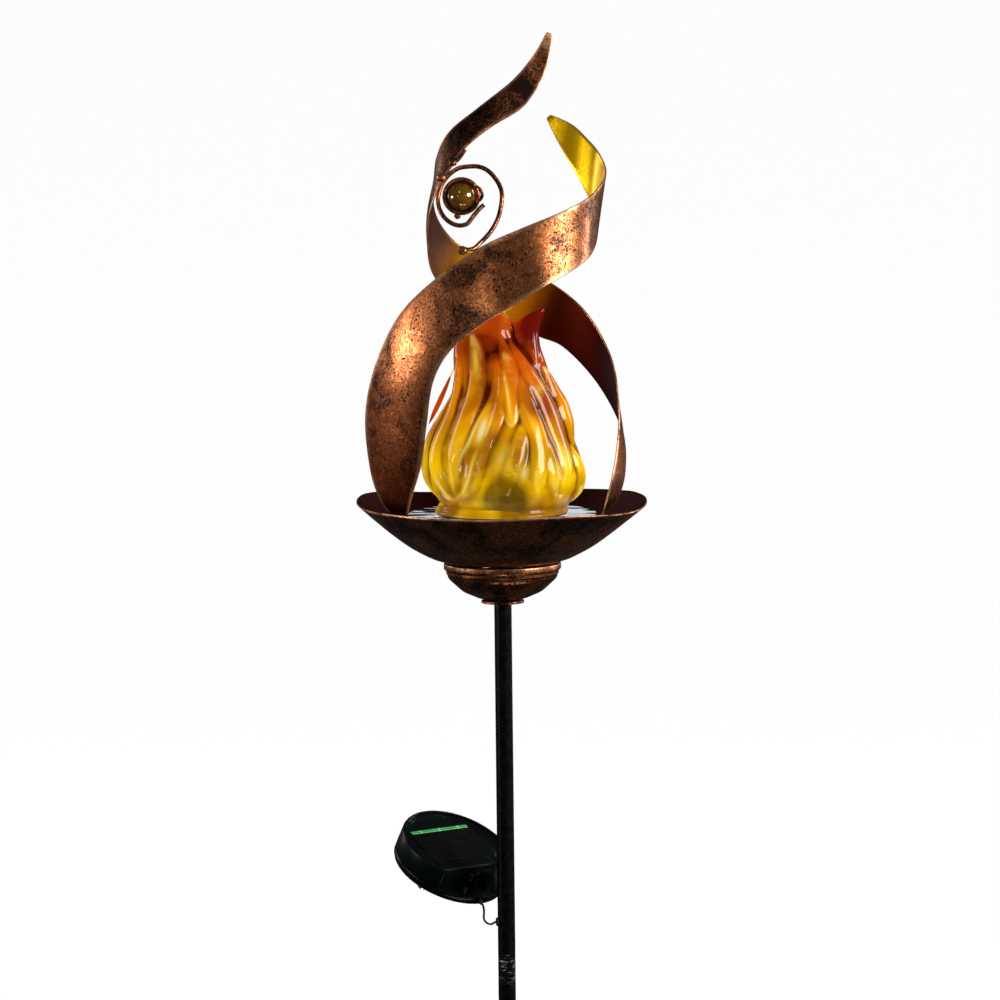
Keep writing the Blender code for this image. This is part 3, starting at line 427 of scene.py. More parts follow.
def put_in_scene(name, mesh, materials, body, smooth=35.0):
    """An object that rides a body. smooth is the angle in degrees up to which its edges are shaded smooth."""
    made = new_object(name, mesh)
    for found in materials if isinstance(materials, (list, tuple)) else [materials]:
        mesh.materials.append(found)
    if smooth:
        mesh.shade_smooth()
        mesh.set_sharp_from_angle(angle=radians(smooth))
    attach(made, body)
    return made


def grid_mesh(rings, cyclic=True, caps=True, tags=None):
    """A mesh from rings of points of one length. tags gives each ring place a material number."""
    mesh = bpy.data.meshes.new("grid")
    count = len(rings[0])
    points = [tuple(p) for ring in rings for p in ring]
    faces = []
    marks = []
    steps = count if cyclic else count - 1
    for row in range(len(rings) - 1):
        for step in range(steps):
            after = (step + 1) % count
            low = row * count
            faces.append((low + step, low + after, low + count + after, low + count + step))
            marks.append(tags[step] if tags else 0)
    if caps:
        faces.append(tuple(reversed(range(count))))
        last = (len(rings) - 1) * count
        faces.append(tuple(last + step for step in range(count)))
        marks += [0, 0]
    mesh.from_pydata(points, [], faces)
    mesh.polygons.foreach_set("material_index", marks)
    work = bmesh.new()
    work.from_mesh(mesh)
    bmesh.ops.remove_doubles(work, verts=work.verts, dist=1e-6)
    bmesh.ops.recalc_face_normals(work, faces=work.faces)
    work.to_mesh(mesh)
    work.free()
    return mesh


def add_attribute(mesh, name, values):
    made = mesh.attributes.new(name, "FLOAT", "POINT")
    made.data.foreach_set("value", np.asarray(values, np.float32))


def add_zeros(mesh, *names):
    for name in names:
        add_attribute(mesh, name, np.zeros(len(mesh.vertices)))


def held(values):
    """The values held between 0 and 1."""
    return np.clip(values, 0, 1)


def turns(count):
    """Angles all the way round."""
    return np.linspace(0, 2 * pi, count, endpoint=False)


def new_mesh(name, work):
    """The bmesh written to a new mesh and freed."""
    mesh = bpy.data.meshes.new(name)
    work.to_mesh(mesh)
    work.free()
    return mesh


def coordinates(mesh):
    flat = np.empty(len(mesh.vertices) * 3)
    mesh.vertices.foreach_get("co", flat)
    return flat.reshape(-1, 3)


def smooth_route(points, count):
    """Evenly numbered points on a Catmull-Rom curve through the given ones."""
    knots = np.array(points, float)
    knots = np.vstack([2 * knots[0] - knots[1], knots, 2 * knots[-1] - knots[-2]])
    spans = len(knots) - 3
    place = np.linspace(0, spans, count)
    span = np.minimum(place.astype(int), spans - 1)
    t = (place - span)[:, None]
    a, b, c, d = (knots[span + k] for k in range(4))
    square = (2 * a - 5 * b + 4 * c - d) * t ** 2
    cube = (3 * b - a - 3 * c + d) * t ** 3
    return 0.5 * (2 * b + (c - a) * t + square + cube)


def rounded(profile, radius):
    """The profile with its corners rounded, where its sides are long enough."""
    points = [np.array(p, float) for p in profile]
    result = [points[0]]
    for before, here, after in zip(points, points[1:], points[2:]):
        reach = min(radius, np.linalg.norm(before - here) * 0.45, np.linalg.norm(after - here) * 0.45)
        first = here + (before - here) / max(np.linalg.norm(before - here), 1e-9) * reach
        last = here + (after - here) / max(np.linalg.norm(after - here), 1e-9) * reach
        for t in np.linspace(0, 1, 4):
            result.append((1 - t) ** 2 * first + 2 * t * (1 - t) * here + t ** 2 * last)
    result.append(points[-1])
    return result


def lathe(profile, segments, radius):
    """Turns (radius, height) millimetres about Z. The profile runs down the outside and back up the bore."""
    line = rounded(profile, radius)
    rings = [[(r * cos(a) * MM, r * sin(a) * MM, z * MM) for r, z in line] for a in turns(segments)]
    rings.append(rings[0])
    return grid_mesh(rings, cyclic=False, caps=False)


def tube_mesh(route, radius, sides, closed=False):
    """A round tube along points in metres."""
    route = np.array(route, float)
    ahead = np.roll(route, -1, axis=0) - np.roll(route, 1, axis=0)
    if not closed:
        ahead[0] = route[1] - route[0]
        ahead[-1] = route[-1] - route[-2]
    ahead /= np.linalg.norm(ahead, axis=1)[:, None]
    side = np.cross(ahead[0], (0.3, 0.2, 1.0))
    rings = []
    for place, direction in zip(route, ahead):
        side = side - direction * np.dot(side, direction)
        side /= np.linalg.norm(side)
        other = np.cross(direction, side)
        rings.append([place + radius * (cos(a) * side + sin(a) * other) for a in turns(sides)])
    if closed:
        rings.append(rings[0])
    return grid_mesh(rings, caps=not closed)


def joined(meshes):
    work = bmesh.new()
    for mesh in meshes:
        work.from_mesh(mesh)
    return new_mesh("joined", work)


def evaluated(thing):
    """The object's mesh with its modifiers applied, as a new mesh."""
    graph = bpy.context.evaluated_depsgraph_get()
    return bpy.data.meshes.new_from_object(thing.evaluated_get(graph))


# ---------------- shapes shared with the model

# Ribbons, foot to tip: (upper edge, lower edge) as x, y, z in millimetres
RIBBON_FRONT = (
    ((-55, -8, 538), (-51, -14, 536)), ((-59, -8, 548), (-52, -15, 548)),
    ((-67, -7, 560), (-50, -21, 560)), ((-72, -6, 577), (-44, -32, 581)),
    ((-74, -9, 606), (-41, -39, 603)), ((-68, -20, 635), (-37, -46, 628)),
    ((-54, -33, 664), (-27, -52, 646)), ((-32, -44, 686), (-9, -57, 661)),
    ((-9, -50, 702), (8, -58, 671)), ((14, -49, 712), (27, -55, 682)),
    ((36, -40, 720), (43, -41, 690)), ((51, -23, 727), (51, -23, 696)),
    ((59, 2, 736), (54, 2, 704)), ((56, 22, 745), (52, 21, 716)),
    ((49, 33, 753), (45, 32, 731)), ((41, 39, 760), (36, 39, 746)),
    ((30, 43, 765), (28, 43, 762)), ((28.7, 43.1, 764.6), (28, 43.1, 763.6)),
)
RIBBON_BACK = (
    ((53, -8, 537), (56, 7, 538)), ((55, -8, 548), (59, 8, 548)),
    ((58, -7, 559), (65, 11, 559)), ((61, -5, 570), (68, 17, 570)),
    ((64, 2, 587), (68, 28, 586)), ((65, 10, 605), (63, 39, 601)),
    ((62, 25, 630), (51, 48, 620)), ((50, 39, 653), (35, 54, 636)),
    ((34, 48, 668), (21, 56, 642)), ((12, 52, 680), (2, 56, 652)),
    ((-6, 49, 687), (-16, 50, 660)), ((-20, 41, 693), (-29, 35, 670)),
    ((-28, 29, 701), (-37, 12, 683)), ((-34, 14, 712), (-39, -10, 700)),
    ((-36, 2, 723), (-38, -21, 716)), ((-35, -7, 735), (-33, -25, 732)),
    ((-33, -11, 749), (-26, -25, 743)), ((-26, -13, 762), (-18, -24, 754)),
    ((-10, -14, 775), (-4, -22, 765)), ((9, -14, 790), (15, -20, 777)),
    ((21, -11, 804), (26, -14, 795)), ((27, -7, 814), (30, -8, 812)),
    ((28.2, -7.3, 815), (29.2, -7.6, 814.4)),
)
# Lacquer on the inner faces at each station: 0 is deep red, 1 is yellow gold; above about 0.5 the lacquer also
# carries a painted glow
TINT_FRONT = (0, 0, 0, 0.05, 0.1, 0.2, 0.3, 0.4, 0.5, 0.65, 0.8, 0.9, 0.92, 0.92, 0.9, 0.88, 0.88, 0.88)
TINT_BACK = (0, 0, 0, 0.05, 0.08, 0.1, 0.14, 0.22, 0.45, 1, 0.9, 0.72, 0.45, 0.25, 0.3, 0.3) + (0.4,) * 7
# In millimetres: the sheet's thickness, the width of its bare edge, the wire's radius, the bowl's size
SHEET = 0.9
BARE_EDGE = 1.3
WIRE_R = 1.25
BOWL_R = 80.0
BOWL_Z = 523.2
# The bowl's wavy rim: order, size in millimetres, phase in degrees
RIM_WAVE = ((1, 0.5, 200), (2, 1.1, 10), (3, 1.3, 110), (5, 0.5, 60))
SCROLL = (
    (-19, -51.5, 700.5), (-14, -50, 701), (-10, -47, 704), (-5, -44, 709), (-1, -40, 715), (1, -36, 721),
    (2, -33, 728), (1, -30, 733), (-2, -29, 738), (-6, -28.5, 742), (-11, -28.5, 744), (-17, -28.5, 744),
    (-22, -28.5, 743), (-27, -29, 739.5), (-31, -30, 734), (-33, -32, 727), (-32, -35, 721),
    (-28.5, -38, 716), (-23, -39, 713), (-17.5, -38.5, 713.5), (-13.5, -37, 718), (-10.5, -36, 721.5),
    (-8, -35, 723.5),
)
BRACE = ((-18, -27.2, 753.5), (-21.5, -27.7, 748.5), (-25.3, -28.3, 745.6))


# ---------------- head

EDGE_TURN = (pi / 4, pi / 2, 3 * pi / 4)


def ribbon(name, stations, tints, outer_face, inner_face, patina_and_painted_shade, tip_highlight):
    """A strip with rounded edges, lofted through its edge stations and wrapped round the flame's axis."""
    along = 220
    across = 14
    upper = smooth_route([s[0] for s in stations], along)
    lower = smooth_route([s[1] for s in stations], along)
    shares = np.linspace(0, 1, across + 1)
    sheet = np.empty((along, across + 1, 3))
    for step, share in enumerate(shares):
        flat = upper * (1 - share) + lower * share
        reach = np.hypot(*upper.T[:2]) * (1 - share) + np.hypot(*lower.T[:2]) * share
        stretch = np.minimum(reach / np.maximum(np.hypot(*flat.T[:2]), 1.0), 1.08)
        sheet[:, step] = flat * np.stack([stretch, stretch, np.ones(along)], 1)
    ahead = np.gradient(sheet, axis=0)
    over = np.gradient(sheet, axis=1)
    normal = np.cross(over, ahead)
    normal /= np.linalg.norm(normal, axis=2)[..., None]
    middle = sheet[along // 3, across // 2]
    if np.dot(normal[along // 3, across // 2][:2], middle[:2]) < 0:
        normal = -normal
    over /= np.linalg.norm(over, axis=2)[..., None]
    half = SHEET / 2
    rings = []
    for flat, away, wide in zip(sheet, normal, over):
        ring = [*(flat + away * half)]
        ring += [flat[-1] + (away[-1] * cos(a) + wide[-1] * sin(a)) * half for a in EDGE_TURN]
        ring += [*(flat - away * half)[::-1]]
        ring += [flat[0] - (away[0] * cos(a) + wide[0] * sin(a)) * half for a in EDGE_TURN]
        rings.append(np.array(ring) * MM)
    outside = [0] * across + [0] * 4 + [1] * across + [0] * 4
    mesh = grid_mesh(rings, tags=outside)
    points = coordinates(mesh)
    middle_line = (upper + lower) / 2 * MM
    rims = np.vstack([upper, lower]) * MM
    gaps = np.sqrt([((rims - point) ** 2).sum(1).min() for point in points])
    edge = np.maximum(0.0, 1.0 - gaps / (BARE_EDGE * MM))
    nearest = [int(((middle_line - point) ** 2).sum(1).argmin()) for point in points]
    tone = np.interp(np.linspace(0, len(tints) - 1, along), range(len(tints)), tints)
    add_attribute(mesh, "tint", tone[nearest])
    share = np.array(nearest) / along
    # Painted shade on the sheet's upper stretch, from about 0.62 to 0.93 of its length.
    painted_shade_stretch = held((share - 0.62) / 0.08) * held((0.93 - share) / 0.06)
    add_attribute(mesh, "patina_and_painted_shade", patina_and_painted_shade * painted_shade_stretch)
    # Painted highlight: strong at the tip when asked for, faint along the bare edges.
    add_attribute(mesh, "painted_highlight", np.maximum(tip_highlight * held((share - 0.915) / 0.06), 0.2 * edge))
    add_attribute(mesh, "edge", edge)
    made = put_in_scene(name, mesh, [outer_face, inner_face], "head", 60.0)
    return made


def rim_height(angle, radius):
    wave = sum(size * cos(order * angle - radians(phase)) for order, size, phase in RIM_WAVE)
    return (0.6 + wave) * (radius / BOWL_R) ** 6


def bowl(outer_face, inner_face):
    """The dished bowl, slightly dented, with a wavy rolled rim."""
    stations = ((3.2, 0), (18, 0), (30.5, 0.1), (34, 1), (40, 3), (51, 8.9), (61.5, 16.4),
                (70, 23.2), (76, 28), (79.4, 30.8))
    line = smooth_route(stations, 60)
    thick = 1.1
    rings = []
    for angle in turns(180):
        ring = []

        def place(radius, height):
            x, y = cos(angle) * radius, sin(angle) * radius
            dent = 0.25 * noise.noise(Vector((x, y, 3.0)) / 16.0)
            lift = rim_height(angle, radius) + dent * min(1.0, radius / 45.0)
            ring.append((x * MM, y * MM, (BOWL_Z + height + lift) * MM))

        for radius, height in line:
            place(radius, height)
        for share in (0.25, 0.75):
            place(line[-1][0] + 0.55, line[-1][1] + 0.15 + thick * share)
        for radius, height in line[::-1]:
            place(radius, height + thick)
        rings.append(ring)
    rings.append(rings[0])
    mesh = grid_mesh(rings, caps=False, tags=[0] * (len(line) + 2) + [1] * len(line))
    points = coordinates(mesh)
    spread = np.hypot(points[:, 0], points[:, 1]) / MM
    add_attribute(mesh, "edge", held((spread - 78.6) / 1.0))
    # A faint painted highlight round the rim.
    add_attribute(mesh, "painted_highlight", 0.15 * held((spread - 79.0) / 0.6))
    add_attribute(mesh, "tint", np.full(len(points), 0.12))
    made = put_in_scene("bowl_shell", mesh, [outer_face, inner_face], "head", 50.0)
    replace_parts(made, "bowl")


FLAME_Z = 550.7
# Its mesh: voxel size, smoothing steps, and the depths at which fine relief and wide folds count in full
FLAME_VOXEL = 0.7 * MM
FLAME_MELT, FINE_BLUR, WIDE_BLUR = 16, 45, 260
RELIEF_DEPTH, FOLD_DEPTH = 0.45 * MM, 1.3 * MM
# Height above the foot, shift in x, radius: the glass body without its licks
FLAME_BODY = (
    (0, 2, 34.5), (4, 2, 34.5), (9, 2, 38), (14, 2, 40.5), (20, 1.6, 41.8), (28, 0.4, 41.2),
    (38, -0.8, 38.6), (47, 0, 35.2), (57, 1.8, 30.6), (66, 2, 26.8), (77, 0, 23.5), (84, -1, 20.5),
    (90, -2, 15), (94, -2, 7),
)
# Tongues: x, y, height, half-width in x, half-width in y
LEFT_TONGUE = (
    (-4, -1, 62, 21, 21), (-6, -2, 74, 19, 18), (-8, -2, 85, 17.8, 15), (-8.6, -1, 95, 16.4, 12.5),
    (-7.4, -0.5, 103, 15.6, 10), (-8.6, 0.5, 109, 12, 7.4), (-10, 1.5, 114.5, 5, 4),
    (-9.8, 2, 117.2, 0.8, 0.8),
)
RIGHT_TONGUE = (
    (12, 1, 62, 18, 17), (13.5, 0, 74, 14, 13), (15, -1, 83, 10, 9.5), (14.6, -2, 91, 7.8, 7.2),
    (14, -3, 99, 7.6, 5.2), (15, -3.5, 104.5, 7.6, 4), (19, -4, 108.8, 5.4, 3),
    (22.4, -4.5, 111.8, 2.6, 1.7), (24, -4.5, 113.4, 0.8, 0.8),
)
# Licks on the front, foot to tip: x, height above the foot, half-width
LICKS = (
    ((-26, 7, 0.8), (-31, 14, 4.4), (-36, 25, 5.8), (-36, 37, 5.8), (-30.5, 50, 5), (-25, 63, 4.2),
     (-23, 77, 3.4), (-23, 90, 1)),
    ((-23.5, 8, 0.8), (-18, 17, 4), (-15.5, 28, 5.2), (-12.5, 40, 5.8), (-7, 52, 6), (-1.5, 63, 4.8),
     (0, 74, 3.4), (-2, 84, 1)),
    ((-27, 24, 0.8), (-25.5, 35, 3.8), (-22, 46, 4.8), (-17, 58, 5), (-13, 70, 4.6), (-12, 82, 4),
     (-14, 94, 3), (-16, 104, 0.8)),
    ((6.4, 50, 0.8), (5.6, 60, 4), (5.2, 71, 4.6), (5.5, 82, 3.8), (2.4, 91, 2.8), (0, 99, 0.8)),
    ((19, 10, 0.8), (20.5, 23, 4.2), (21.4, 37, 5.4), (18, 50, 5.4), (13.5, 62, 4.6), (11, 73, 3.4),
     (10, 82, 0.9)),
    ((36.5, 17, 0.8), (36, 29, 5), (32.5, 41, 6.2), (28, 54, 6.4), (21.5, 68, 5.6), (14.5, 79, 4.6),
     (9, 89, 3.6), (5.4, 97, 2.4), (3.4, 103, 0.8)),
    ((3, 12, 0.8), (4, 22, 3.4), (8, 33, 4.2), (11, 44, 3.4), (12, 53, 0.9)),
    ((29.5, 8, 0.8), (29, 20, 3.6), (27, 33, 3.6), (25, 43, 0.9)),
    ((20, 79, 0.6), (19, 89, 2.2), (18, 99, 2), (20.5, 107, 1.4), (23, 111.5, 0.5)),
    ((11, 88, 0.6), (10, 97, 2), (10, 104.5, 0.8)),
)
# Licks on the two sides: azimuth, height above the foot, half-width
SIDE_LICKS = (
    ((352, 32, 0.8), (354, 41, 5.2), (356, 50, 8), (356, 58, 8), (352, 67, 5.6), (346, 76, 3.2),
     (340, 84, 0.8)),
    ((347, 5, 0.8), (350, 12, 4.4), (352, 20, 5), (350, 30, 4.2), (346, 40, 0.8)),
    ((8, 8, 0.8), (12, 18, 4.6), (16, 30, 5), (12, 44, 4.2), (18, 58, 3.4), (22, 72, 0.8)),
    ((188, 9, 0.8), (184, 20, 4.4), (186, 32, 5), (180, 45, 4.2), (172, 58, 3.4), (168, 74, 0.8)),
    ((166, 6, 0.8), (162, 16, 4.4), (160, 28, 4.8), (166, 42, 4), (158, 56, 3.2), (150, 70, 0.8)),
)
LOOSE_LICK = ((-39.9, 7.5, 47.5, 0.7), (-37.2, 8, 53, 2.2), (-33.8, 8.5, 60, 2.7), (-30.6, 8, 67, 2.3),
              (-27.6, 7, 74, 1.4), (-25, 5, 80, 1))
# Painted glints on the front folds: peak, spread, and a line of x and height above the foot
PAINTED_GLINTS = (
    (0.62, 1.2, ((-39, 27), (-34.5, 18), (-30, 12), (-26, 9))),
    (0.62, 1.2, ((-27, 8.5), (-21.5, 14.5), (-18.5, 22), (-16, 31), (-13, 39))),
    (0.60, 1.3, ((-25, 24), (-22.5, 33), (-17, 44), (-12.5, 53), (-6, 62))),
    (0.50, 1.1, ((-28, 42), (-28.5, 30), (-27, 20), (-26, 14))),
    (0.50, 1.2, ((12, 62), (18.7, 49), (21.3, 36), (18.9, 22), (20, 12))),
    (0.60, 1.3, ((28, 46), (34.5, 34), (35.5, 24), (33, 16))),
    (0.60, 1.1, ((1.8, 80), (4.2, 66), (5.7, 52))),
    (0.55, 1, ((0.4, 59), (5.8, 51), (10.8, 60))),
    (0.70, 3, ((-13.2, 41), (-7.6, 57))),
    (0.60, 3.4, ((11.6, 22), (13, 29))),
    (0.50, 4, ((34, 24), (35.8, 33))),
    (0.45, 4.5, ((-2, 28), (2, 40))),
    (0.45, 3, ((20.6, 67), (22, 72))),
    (0.45, 2.2, ((-13.6, 94), (-13.2, 76))),
)


def painted_glints(points):
    """How strong the painted glints are at each point, on the front and mirrored on the back."""
    x = np.where(points[:, 1] < 0, points[:, 0], -points[:, 0])
    total = np.zeros(len(points))
    for peak, spread, line in PAINTED_GLINTS:
        marks = smooth_route(line, 40)
        fade = np.sin(np.linspace(0.12, pi - 0.12, len(marks))) ** 0.6
        for mark, share in zip(marks, fade):
            gap = (x - mark[0]) ** 2 + (points[:, 2] - mark[1]) ** 2
            total = np.maximum(total, peak * share * np.exp(-gap / spread ** 2))
    return total * held(np.abs(points[:, 1]) / 6.0)


def flame_body(height):
    """Shift in x and radius of the glass body at a height above its foot."""
    levels, shifts, radii = zip(*FLAME_BODY)
    return np.interp(height, levels, shifts), np.interp(height, levels, radii)


def lick(tree, knots, facing=None):
    """A flame-shaped ridge: a flattened tube that lies on the glass, from a pointed foot to a thin tip."""
    line = smooth_route(knots, 60)
    wide = np.maximum(line[:, 2], 0.4) * 1.22
    deep = np.minimum(wide * 0.5, 2.7) if facing else np.minimum(wide * 0.8, 7.5)
    seats = []
    normals = []
    for where, height, size in line:
        level = (FLAME_Z + height) * MM
        if facing is None:
            turn = radians(where)
            start = Vector((cos(turn), sin(turn), 0.0)) * 0.1 + Vector((0.0, 0.0, level))
            aim = Vector((-cos(turn), -sin(turn), 0.0))
        else:
            start = Vector((where * MM, facing * 0.1, level))
            aim = Vector((0.0, -facing, 0.0))
        found, normal = tree.ray_cast(start, aim)[:2]
        if found is None:
            found, normal = tree.find_nearest(start + aim * 0.1)[:2]
        seats.append(np.array(found) / MM)
        normals.append(np.array(normal))
    seats = blurred_rows(seats, 5)
    outward = blurred_rows(normals, 9)
    return flat_tube(seats - outward * (0.22 * deep)[:, None], wide, deep, outward)


def blurred_rows(rows, reach):
    """Each row averaged with its neighbours along the line."""
    padded = np.pad(np.array(rows), ((reach, reach), (0, 0)), mode="edge")
    return sum(padded[k:k + len(rows)] for k in range(2 * reach + 1)) / (2 * reach + 1)


def flat_tube(centre, wide, deep, outward):
    """A tube in millimetres with elliptical sections whose flat side faces outward."""
    ahead = np.gradient(centre, axis=0)
    ahead /= np.linalg.norm(ahead, axis=1)[:, None]
    outward = outward - ahead * (outward * ahead).sum(1)[:, None]
    outward /= np.linalg.norm(outward, axis=1)[:, None]
    side = np.cross(ahead, outward)
    rings = []
    for k in range(len(centre)):
        rings.append([(centre[k] + wide[k] * cos(a) * side[k] + deep[k] * sin(a) * outward[k]) * MM
                      for a in turns(16)])
    return grid_mesh(rings)


def tongue(stations):
    """A flame's top: level elliptical sections that shrink to a tip."""
    rings = []
    for x, y, height, half_x, half_y in smooth_route(stations, 50):
        rings.append([((x + half_x * cos(a)) * MM, (y + half_y * sin(a)) * MM,
                       (FLAME_Z + height) * MM) for a in turns(40)])
    return grid_mesh(rings)


def embers(points, loose):
    """1 on the dark red parts, the loose lick and the upper right tongue, fading to 0 on the body."""
    gap = np.min([np.linalg.norm(points - knot, axis=1) for knot in loose[:22]], axis=0)
    on_loose = held((3.6 - gap) / 1.2)
    lean = points[:, 0] - 5.0 + (points[:, 2] - 100.0) * 0.10
    on_tongue = held(lean / 3.0) * held((points[:, 2] - 78.0) / 14.0)
    return np.maximum(on_loose, on_tongue)


def flame(material):
    """The glass flame: a body with two tongues and licks laid on it, fused, smoothed, and given a foot."""
    rings = []
    for height in np.linspace(0, 94, 60):
        shift, radius = flame_body(height)
        rings.append([((radius * cos(a) + shift) * MM, radius * sin(a) * MM,
                       (FLAME_Z + height) * MM) for a in turns(90)])
    parts = [grid_mesh(rings), tongue(LEFT_TONGUE), tongue(RIGHT_TONGUE)]
    body = joined(parts)
    tree = BVHTree.FromPolygons([v.co for v in body.vertices], [p.vertices for p in body.polygons])
    parts += [lick(tree, knots, -1) for knots in LICKS]
    parts += [lick(tree, [(-x * 0.97, h * 0.97 + 1.0, w) for x, h, w in knots], 1) for knots in LICKS]
    parts += [lick(tree, knots) for knots in SIDE_LICKS]
    loose = smooth_route(LOOSE_LICK, 30)
    centre = loose[:, :3] + (0.0, 0.0, FLAME_Z)
    parts.append(flat_tube(centre, loose[:, 3], loose[:, 3] * 0.55, centre * (1.0, 1.0, 0.0)))
    fused = new_object("fused", joined(parts))
    remesh = fused.modifiers.new("fuse", "REMESH")
    remesh.mode = "VOXEL"
    remesh.voxel_size = FLAME_VOXEL
    melt = fused.modifiers.new("melt", "SMOOTH")
    melt.iterations = FLAME_MELT
    mesh = evaluated(fused)
    blur = fused.modifiers.new("blur", "SMOOTH")
    blur.iterations = FINE_BLUR
    blurred = coordinates(evaluated(fused))
    blur.iterations = WIDE_BLUR
    rounder = coordinates(evaluated(fused))
    bpy.data.objects.remove(fused)
    points = coordinates(mesh)
    normals = np.empty(len(mesh.vertices) * 3)
    mesh.vertices.foreach_get("normal", normals)
    normals = normals.reshape(-1, 3)
    add_attribute(mesh, "relief", np.clip(((points - blurred) * normals).sum(1) / RELIEF_DEPTH, -1, 1))
    add_attribute(mesh, "fold", np.clip(((points - rounder) * normals).sum(1) / FOLD_DEPTH, -1, 1))
    # Painted shade of the LED diffuser inside, on the front and back of the glass.
    arch = 1.0 - np.hypot((points[:, 0] / MM - 1.6) / 15.5, (points[:, 2] / MM - 559.5) / 18.5)
    add_attribute(mesh, "dome_shade", held(arch / 0.3))
    above_foot = points / MM - (0.0, 0.0, FLAME_Z)
    add_attribute(mesh, "ember", embers(above_foot, loose[:, :3]))
    add_attribute(mesh, "painted_glint", painted_glints(above_foot))
    made = put_in_scene("flame_glass", mesh, material, "head", 0)
    mesh.shade_smooth()
    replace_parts(made, "glass_flame")
    foot = [(33.5, 0.0), (36.6, 0.0), (36.6, 1.3), (35.2, 2.2), (34.9, 4.5), (33.5, 5.0)]
    flange = lathe([(r, FLAME_Z + z) for r, z in foot] + [(33.5, FLAME_Z)], 120, 0.5)
    add_zeros(flange, "relief", "fold", "ember", "dome_shade", "painted_glint")
    rim = put_in_scene("flame_foot", flange, material, "head")


def wires(material, glass):
    """The scroll, its brace, the marble in its wire ring, and the drops of braze."""
    scroll = tube_mesh(smooth_route(SCROLL, 220) * MM, WIRE_R * MM, 16)
    add_zeros(scroll, "edge")
    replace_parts(put_in_scene("scroll", scroll, material, "head", 60), "scroll_wire")
    brace = tube_mesh(smooth_route(BRACE, 20) * MM, WIRE_R * MM, 16)
    add_zeros(brace, "edge")
    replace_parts(put_in_scene("brace", brace, material, "head", 60), "wire_brace")
    low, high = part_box("marble")
    centre = (low + high) / 2
    work = bmesh.new()
    bmesh.ops.create_icosphere(work, subdivisions=5, radius=(high - low).z / 2)
    for vert in work.verts:
        vert.co += centre
    ball = new_mesh("ball", work)
    off_axis = np.hypot(*(coordinates(ball) - centre)[:, (0, 2)].T) / (high - low).z * 2
    # Painted shade round the marble's edge as seen from the front and back.
    add_attribute(ball, "rim", held((off_axis - 0.72) / 0.25))
    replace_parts(put_in_scene("amber_marble", ball, glass, "head", 180), "marble")
    reach = 9.15 * MM
    loop = [centre + reach * Vector((cos(a), 0.0, sin(a))) for a in turns(96)]
    hook = [centre + reach * size * Vector((cos(a), -0.06, sin(a)))
            for size, a in ((1, 0.62), (1.1, 0.52), (1.22, 0.3), (1.26, 0.04), (1.16, -0.18), (1.03, -0.3))]
    ring = joined([tube_mesh(loop, 1.35 * MM, 14, closed=True),
                   tube_mesh(smooth_route(hook, 24), 0.85 * MM, 12)])
    add_zeros(ring, "edge")
    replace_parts(put_in_scene("marble_wire", ring, material, "head", 60), "marble_ring")
    for index, (place, size) in enumerate((((-31.2, -30.4, 738.2), 2.3), ((-19.6, -51.0, 700.2), 2.4),
                                           ((-22.5, -34.5, 717.5), 1.6), ((-24.6, -28.2, 746.2), 1.9))):
        weld_bead(f"weld_bead_{index + 1}", place, size, material)


def weld_bead(name, place, size, material):
    """A rough drop of braze where two wires meet."""
    work = bmesh.new()
    bmesh.ops.create_icosphere(work, subdivisions=4, radius=size * MM)
    for vert in work.verts:
        lump = 1 + 0.16 * noise.noise(vert.co / (0.9 * MM) + Vector(place))
        vert.co = Vector((vert.co.x * 1.15, vert.co.y * 0.8, vert.co.z)) * lump + Vector(place) * MM
    mesh = new_mesh(name, work)
    add_zeros(mesh, "edge")
    put_in_scene(name, mesh, material, "head", 180)


def head(copper, dark_copper, inside, glass, marble, mirror):
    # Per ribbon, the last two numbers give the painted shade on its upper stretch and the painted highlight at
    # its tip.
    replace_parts(ribbon("front_ribbon", RIBBON_FRONT, TINT_FRONT, copper, inside, 0.0, 0.0), "ribbon_front")
    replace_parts(ribbon("back_ribbon", RIBBON_BACK, TINT_BACK, dark_copper, inside, 0.45, 0.95), "ribbon_back")
    bowl(dark_copper, inside)
    flame(glass)
    wires(copper, marble)
    plate = lathe([(3.0, 549.6), (52.0, 549.6), (52.0, 548.5), (3.0, 548.5), (3.0, 549.6)], 160, 0.3)
    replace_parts(put_in_scene("mirror_plate", plate, mirror, "head"), "reflector_plate")
    outer = [(30.5, 516.2), (29.8, 514), (26.6, 511), (22, 506.8), (13, 502.9), (5, 502), (3, 502)]
    inner = [(3, 503), (5, 503), (12.6, 503.9), (21.2, 507.7), (25.7, 511.7), (28.5, 514.5), (29.3, 516.2)]
    cup = lathe(outer + inner + [outer[0]], 120, 2.0)
    add_zeros(cup, "edge")
    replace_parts(put_in_scene("round_cup", cup, dark_copper, "head"), "cup")
    ring = [(28.6, 522.9), (31.6, 522.9), (32.3, 522.2), (32.3, 519.4), (31.6, 518.7), (31, 518.6),
            (31, 516.5), (28.6, 516.5), (28.6, 522.9)]
    band = lathe(ring, 140, 0.5)
    points = coordinates(band) / MM
    add_attribute(band, "edge", held((np.hypot(points[:, 0], points[:, 1]) - 32.0) / 0.3)
                  * held((points[:, 2] - 521.6) / 0.6))
    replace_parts(put_in_scene("cup_band", band, dark_copper, "head"), "cup_ring")


# ---------------- pole

